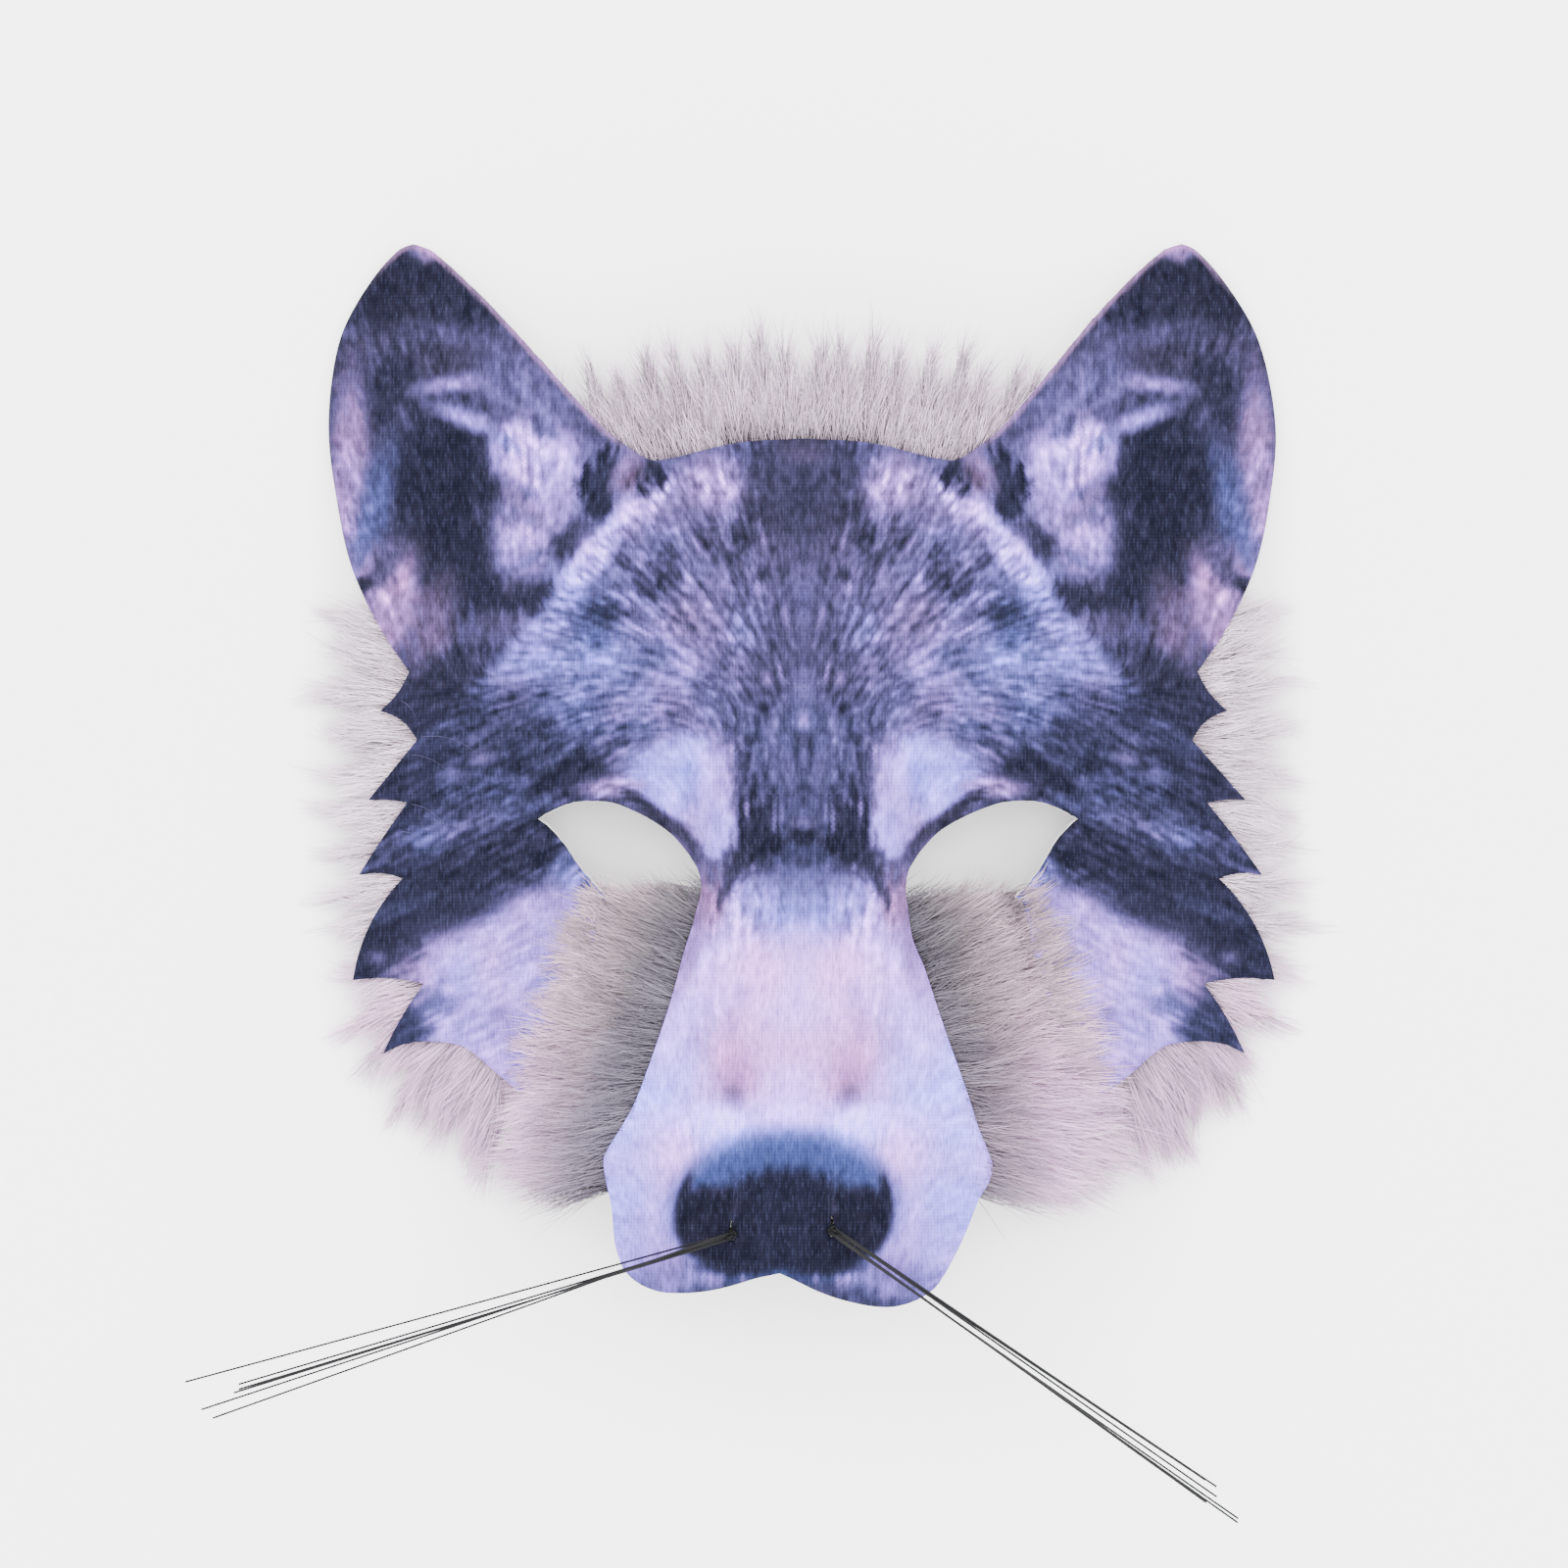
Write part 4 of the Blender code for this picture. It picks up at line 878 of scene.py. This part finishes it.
def backing_material(name, under, comb_degrees=0):
    """The dense short under-fur below the threads, streaked the way they are combed."""
    made, tree, shader = new_material(name, FUR_ROUGHNESS)
    nodes = tree.nodes
    place = nodes.new("ShaderNodeTexCoord")
    along = nodes.new("ShaderNodeMapping")
    along.inputs["Rotation"].default_value[2] = math.radians(comb_degrees)
    along.inputs["Scale"].default_value = (110.0, 1500.0, 600.0)
    grain = nodes.new("ShaderNodeTexNoise")
    grain.inputs["Scale"].default_value = 1.0
    grain.inputs["Detail"].default_value = 4.0
    link(tree, place, "Object", along, "Vector")
    link(tree, along, "Vector", grain, "Vector")
    under = reflectance(under)
    ramp = nodes.new("ShaderNodeValToRGB")
    ramp.color_ramp.elements[0].position = 0.32
    ramp.color_ramp.elements[0].color = (*(0.55 * under), 1)
    ramp.color_ramp.elements[1].position = 0.68
    ramp.color_ramp.elements[1].color = (*(1.15 * under), 1)
    link(tree, grain, "Fac", ramp, "Fac")
    link(tree, ramp, "Color", shader, "Base Color")
    bump = nodes.new("ShaderNodeBump")
    bump.inputs["Strength"].default_value = 0.6
    bump.inputs["Distance"].default_value = 0.0006
    link(tree, grain, "Fac", bump, "Height")
    link(tree, bump, "Normal", shader, "Normal")
    return made


def dress_node(name, finish):
    """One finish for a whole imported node."""
    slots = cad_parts[name].data.materials
    slots.clear()
    slots.append(finish)


def roots_on(name, count, wanted, chance):
    """Random places on the upper side of a fur body, more of them where they are wanted."""
    places, triangles = node_triangles(name)
    middles = places[triangles].mean(1)
    facing = facing_of(places, triangles)
    area = np.linalg.norm(facing, axis=1)
    weight = area * (facing[:, 2] > 0.12 * area) * wanted(middles[:, 0], middles[:, 1])
    picks = chance.choice(len(triangles), count, p=weight / weight.sum())
    u, v = chance.random(count), chance.random(count)
    over = u + v > 1
    u[over], v[over] = 1 - u[over], 1 - v[over]
    a, b, c = (places[triangles[picks, i]] for i in range(3))
    return a + (b - a) * u[:, None] + (c - a) * v[:, None]


def near_open(x, y, margin):
    """1 where fur shows or lies less than the margin in under the sheet."""
    seen = np.ones(len(x))
    for i, (px, py) in enumerate(zip(x, y)):
        top = height_at(sheet_surface, px, py, None)
        if top is not None and rim_tree.find(Vector((px, py, top)))[2] > margin:
            seen[i] = 0.0
    return seen


def combed(roots, way, length, chance, spread=0.12, curl=0.8, clump=0.55, per_clump=24):
    """Strands from their roots along a way, gathered into locks, as lines of points."""
    count = len(roots)
    t = np.linspace(0, 1, STRAND_POINTS)[None, :, None]
    turn = chance.normal(0, spread, count)
    c, s = np.cos(turn), np.sin(turn)
    way = np.c_[way[:, 0] * c - way[:, 1] * s, way[:, 0] * s + way[:, 1] * c]
    side = np.c_[-way[:, 1], way[:, 0]]
    lines = np.zeros((count, STRAND_POINTS, 3))
    bend = (chance.normal(0, curl, count))[:, None, None]
    flat = roots[:, None, :2] + way[:, None] * length[:, None, None] * t + side[:, None] * bend * t**2
    wander = chance.normal(0, 0.12, (count, STRAND_POINTS, 1)) * t
    flat = flat + side[:, None] * wander
    leaders = chance.choice(count, max(1, count // per_clump), replace=False)
    nearest = np.concatenate(
        [
            ((part[:, None] - roots[None, leaders, :2]) ** 2).sum(2).argmin(1)
            for part in np.array_split(roots[:, :2], 40)
        ]
    )
    leader = leaders[nearest]
    pull = (clump * chance.uniform(0.3, 1.2, count))[:, None, None] * t**1.3
    lines[:, :, :2] = flat + (flat[leader] - flat) * np.clip(pull, 0, 0.92)
    return lines, leader


def layered(lines, roots, body_surface, rise, droop, over_sheet, chance):
    """Heights for the strands: out of their body, then lying on it, on the sheet or in the air."""
    count, points = lines.shape[:2]
    lift = rise * chance.uniform(0.3, 1.0, count)
    for i in range(count):
        under = True
        z = roots[i, 2]
        for k in range(points):
            t = k / (points - 1)
            x, y = lines[i, k, 0], lines[i, k, 1]
            cover = height_at(sheet_surface, x, y, None)
            body = height_at(body_surface, x, y, None)
            if cover is None:
                under = False
            free = roots[i, 2] + lift[i] * math.sin(math.pi * min(1.0, 0.15 + 0.75 * t)) - droop * t**2
            z = free if body is None else max(free, body + 0.1 + lift[i] * t)
            if cover is not None:
                if under or not over_sheet:
                    z = min(z, cover - SHEET - 0.35)
                else:
                    z = max(z, cover + 0.25 + 0.5 * lift[i] * (1 - t))
            lines[i, k, 2] = max(z, 0.25)
    return lines


def unit(x, y):
    """The directions brought to a length of 1."""
    long = np.hypot(x, y) + 1e-9
    return np.c_[x / long, y / long]


def shades(lines, leader, base, tip, spread, chance):
    """Colours of strands from root to tip, each strand and each lock a little its own."""
    count, points = lines.shape[:2]
    lock = chance.normal(0, 0.5, count)[leader]
    base, tip = reflectance(base), reflectance(tip)
    own = 1 + spread * (0.7 * chance.normal(0, 1, count) + lock)
    t = np.linspace(0, 1, points)[None, :, None]
    root_colour = np.broadcast_to(np.asarray(base), (count, 3))[:, None]
    tip_colour = np.broadcast_to(np.asarray(tip), (count, 3))[:, None]
    colour = root_colour + (tip_colour - root_colour) * t**1.2
    return np.clip(colour * np.clip(own, 0.35, 1.7)[:, None, None], 0.01, 0.97)


THREAD = 0.085  # radius of a thread, at full thickness
TAPER = np.array([1.0, 0.95, 0.7, 0.12])  # its share from root to tip
fur_strands = thread_material()

CROWN_STRANDS = 9000
CROWN_LENGTH = 12.5


def make_crown():
    """Threads that stand up from behind the forehead, a little shorter towards the ears."""
    chance = np.random.default_rng(50)
    body = surface_under(*node_triangles("crown_fur"))
    roots = roots_on("crown_fur", CROWN_STRANDS, lambda x, y: near_open(x, y, 5.0), chance)
    way = unit(roots[:, 0] * 0.22 + chance.normal(0, 2.0, len(roots)), np.full(len(roots), 24.0))
    edge = 1 - 0.35 * (np.abs(roots[:, 0]) / 50) ** 2
    length = CROWN_LENGTH * chance.uniform(0.55, 1.1, len(roots)) * edge
    lines, leader = combed(roots, way, length, chance, spread=0.16, curl=1.6, clump=0.3)
    layered(lines, roots, body, 2.5, 1.5, False, chance)
    colours = shades(lines, leader, (0.615, 0.60, 0.612), (0.93, 0.915, 0.93), 0.3, chance)
    piece = thread_piece("crown_strands", lines, TAPER, colours, THREAD, fur_strands)
    dress_node("crown_fur", backing_material("crown_backing", (0.74, 0.725, 0.735), -90))


make_crown()

# Cheek furs
# Off-white long-pile faux fur behind the jagged cheek edges, combed outward and pressed flat
# where the mask rests on it. A few stray hairs have come to lie over the left cheek's print.
CHEEK_STRANDS = 5500
CHEEK_LENGTH = 13.0
STRAY_HAIRS = [
    # (out, up, length, turn, bend): single hairs that lie over the left cheek's print
    (78.3, 13.6, 12.6, -18, 1.6),
    (80.2, 10.0, 8.8, -26, 0.9),
    (80.2, -0.2, 7.2, -30, 0.8),
    (82.4, 21.0, 4.4, -48, 0.5),
    (75.5, -3.4, 6.0, -9, -0.5),
    (82.4, -5.8, 4.4, -34, 0.9),
]


def make_cheek(side):
    """Threads combed outward, upward at the temple and downward at the jaw."""
    chance = np.random.default_rng(60 + side)
    name = "cheek_fur_left" if side < 0 else "cheek_fur_right"
    body = surface_under(*node_triangles(name))
    roots = roots_on(name, CHEEK_STRANDS, lambda x, y: near_open(x, y, 5.0), chance)
    x, y = roots[:, 0], roots[:, 1]
    low = smooth_step(-30, -62, y)
    high = smooth_step(0, 34, y)
    inner = smooth_step(66, 54, np.abs(x)) * smooth_step(-36, -46, y)
    way = unit(side * (1.0 - 0.55 * low - 0.75 * inner), -0.12 - 1.0 * low + 0.42 * high)
    length = CHEEK_LENGTH * chance.uniform(0.55, 1.1, len(roots)) * (1 + 0.35 * inner)
    lines, leader = combed(roots, way, length, chance, spread=0.16, curl=1.5, clump=0.7)
    layered(lines, roots, body, 1.5, 3.0, False, chance)
    grey = np.array([0.87, 0.847, 0.87])
    cream = np.array([0.90, 0.88, 0.895])
    base = cream + (grey - cream) * smooth_step(-28, -50, y)[:, None]
    colours = shades(lines, leader, base * 0.95, base * 1.06, 0.2, chance)
    piece = thread_piece(name + "_strands", lines, TAPER, colours, THREAD, fur_strands)
    dress_node(name, backing_material(name + "_backing", (0.84, 0.82, 0.825)))


def make_stray_hairs():
    """The table's hairs, each a shallow arc lying on the plush."""
    t = np.linspace(0, 1, 9)
    lines = np.zeros((len(STRAY_HAIRS), len(t), 3))
    for line, (out, up, length, turn, bend) in zip(lines, STRAY_HAIRS):
        c, s = math.cos(math.radians(turn)), math.sin(math.radians(turn))
        along, aside = length * t, 4 * bend * t * (1 - t)
        line[:, 0] = -out + along * c - aside * s
        line[:, 1] = up + along * s + aside * c
        line[:, 2] = [height_at(sheet_surface, x, y, 8.0) + 0.28 for x, y in line[:, :2]]
    colours = np.broadcast_to(reflectance((0.66, 0.65, 0.76)), lines.shape)
    piece = thread_piece("stray_hairs", lines, np.linspace(1.0, 0.4, len(t)), colours, 0.04, fur_strands)


# Jowl furs
# Taupe-grey long-pile faux fur that closes the gap between muzzle and cheek. It is combed away
# from the muzzle, and its tips lie over the printed cheek's inner edge.
JOWL_STRANDS = 9200
JOWL_LENGTH = 17.0


def make_jowl(side):
    """Threads combed away from the muzzle, shaded where its flap stands over them."""
    chance = np.random.default_rng(70 + side)
    name = "jowl_fur_left" if side < 0 else "jowl_fur_right"
    body = surface_under(*node_triangles(name))
    roots = roots_on(name, JOWL_STRANDS, lambda x, y: near_open(x, y, 3.5), chance)
    x, y = roots[:, 0], roots[:, 1]
    low = smooth_step(-25, -72, y)
    high = smooth_step(-27, -18, y)
    high *= smooth_step(43, 34, np.abs(x))
    way = unit(side * (1.0 - 0.15 * low), 0.40 - 0.62 * low + 0.25 * high)
    corner = smooth_step(-32, -22, y) * smooth_step(30, 40, np.abs(x))
    length = JOWL_LENGTH * chance.uniform(0.5, 1.1, len(roots)) * (0.74 + 0.26 * low)
    length *= (1 - 0.3 * high) * (1 - 0.25 * corner)
    lines, leader = combed(roots, way, length, chance, spread=0.17, curl=1.8, clump=0.6)
    layered(lines, roots, body, 2.6, 2.5, True, chance)
    taupe = np.array([0.80, 0.78, 0.79])
    pale = np.array([0.835, 0.812, 0.835])
    # The colour of the painted shade under the muzzle flap's edge
    shade = np.array([0.60, 0.60, 0.65])
    muzzle_side = 20.5 - 0.27 * (y + 25)  # half the flap's width, level with each root
    from_muzzle = np.abs(x - MUZZLE_LEAN * (y - BRIDGE_Y)) - muzzle_side
    base = taupe + (pale - taupe) * low[:, None]
    # Painted shade: the strands' colour darkens towards the muzzle flap, and more strongly right beside
    # it, where the flap stands over them.
    base = base * (1.03 - 0.07 * smooth_step(14, 3, from_muzzle))[:, None]
    base += (shade - base) * (0.45 * smooth_step(4.0, -1.0, from_muzzle))[:, None]
    colours = shades(lines, leader, base * 0.88, base * 1.1, 0.34, chance)
    piece = thread_piece(name + "_strands", lines, TAPER, colours, THREAD, fur_strands)
    dress_node(name, backing_material(name + "_backing", (0.66, 0.65, 0.66)))


for mask_side in (-1, 1):
    make_cheek(mask_side)
    make_jowl(mask_side)
make_stray_hairs()

# Whiskers
# Two bundles of stiff black plastic strands, pushed through the slits and glued behind.
whisker_plastic, _, whisker_shader = new_material("whisker_strand", 0.42)
whisker_shader.inputs["Base Color"].default_value = (0.004, 0.004, 0.005, 1)
whisker_shader.inputs["Specular IOR Level"].default_value = 0.12  # barely glossy
for whisker_node in ("whiskers_left", "whiskers_right"):
    dress_node(whisker_node, whisker_plastic)

# Floor, light and camera
# A plain pale floor under soft light, seen from straight above through a long lens.
FRAME_WIDE = 0.320  # what the picture's width shows, in metres, at the reference height
REFERENCE_HEIGHT = 0.025
LENS = 300.0
SENSOR = 36.0
CAMERA_AIM = (-0.004, 0.004)  # from the middle of the eye line
FLOOR_HALF = 3.0
ROOM_LIGHT = 3.2

floor_mesh = bpy.data.meshes.new("floor")
floor_mesh.from_pydata(
    [(FLOOR_HALF * x, FLOOR_HALF * y, 0) for x, y in ((-1, -1), (1, -1), (1, 1), (-1, 1))],
    [],
    [(0, 1, 2, 3)],
)
floor = bpy.data.objects.new("floor", floor_mesh)
bpy.context.scene.collection.objects.link(floor)
floor_material, _, floor_shader = new_material("pale_floor", 0.8)
floor_shader.inputs["Base Color"].default_value = (0.93, 0.93, 0.93, 1)
floor_mesh.materials.append(floor_material)

LIGHTS = [
    # (name, place, size, power)
    ("light_overhead", (0.0, 0.1, 3.3), 1.4, 120.0),
    ("light_above_left", (-1.3, 1.1, 1.9), 1.6, 70.0),
    ("light_above_right", (1.4, 0.6, 1.9), 1.6, 50.0),
    ("light_front", (0.2, -1.7, 1.5), 1.6, 26.0),
]
for name, place, size, power in LIGHTS:
    lamp = bpy.data.lights.new(name, "AREA")
    lamp.size = size
    lamp.energy = power
    lamp_object = bpy.data.objects.new(name, lamp)
    lamp_object.location = place
    lamp_object.rotation_euler = (-Vector(place)).to_track_quat("-Z", "Y").to_euler()
    bpy.context.scene.collection.objects.link(lamp_object)
world = bpy.data.worlds.new("soft_room")
world.use_nodes = True
world.node_tree.nodes["Background"].inputs["Color"].default_value = (1.0, 1.0, 1.0, 1)
world.node_tree.nodes["Background"].inputs["Strength"].default_value = ROOM_LIGHT
bpy.context.scene.world = world

camera_data = bpy.data.cameras.new("camera")
camera_data.lens = LENS
camera_data.sensor_width = SENSOR
camera_data.clip_end = 20.0
camera = bpy.data.objects.new("camera", camera_data)
camera_high = REFERENCE_HEIGHT + FRAME_WIDE * LENS / SENSOR
camera.location = (eye_line[0] * MM + CAMERA_AIM[0], eye_line[1] * MM + CAMERA_AIM[1], camera_high)
bpy.context.scene.collection.objects.link(camera)
bpy.context.scene.camera = camera

bpy.context.view_layer.update()
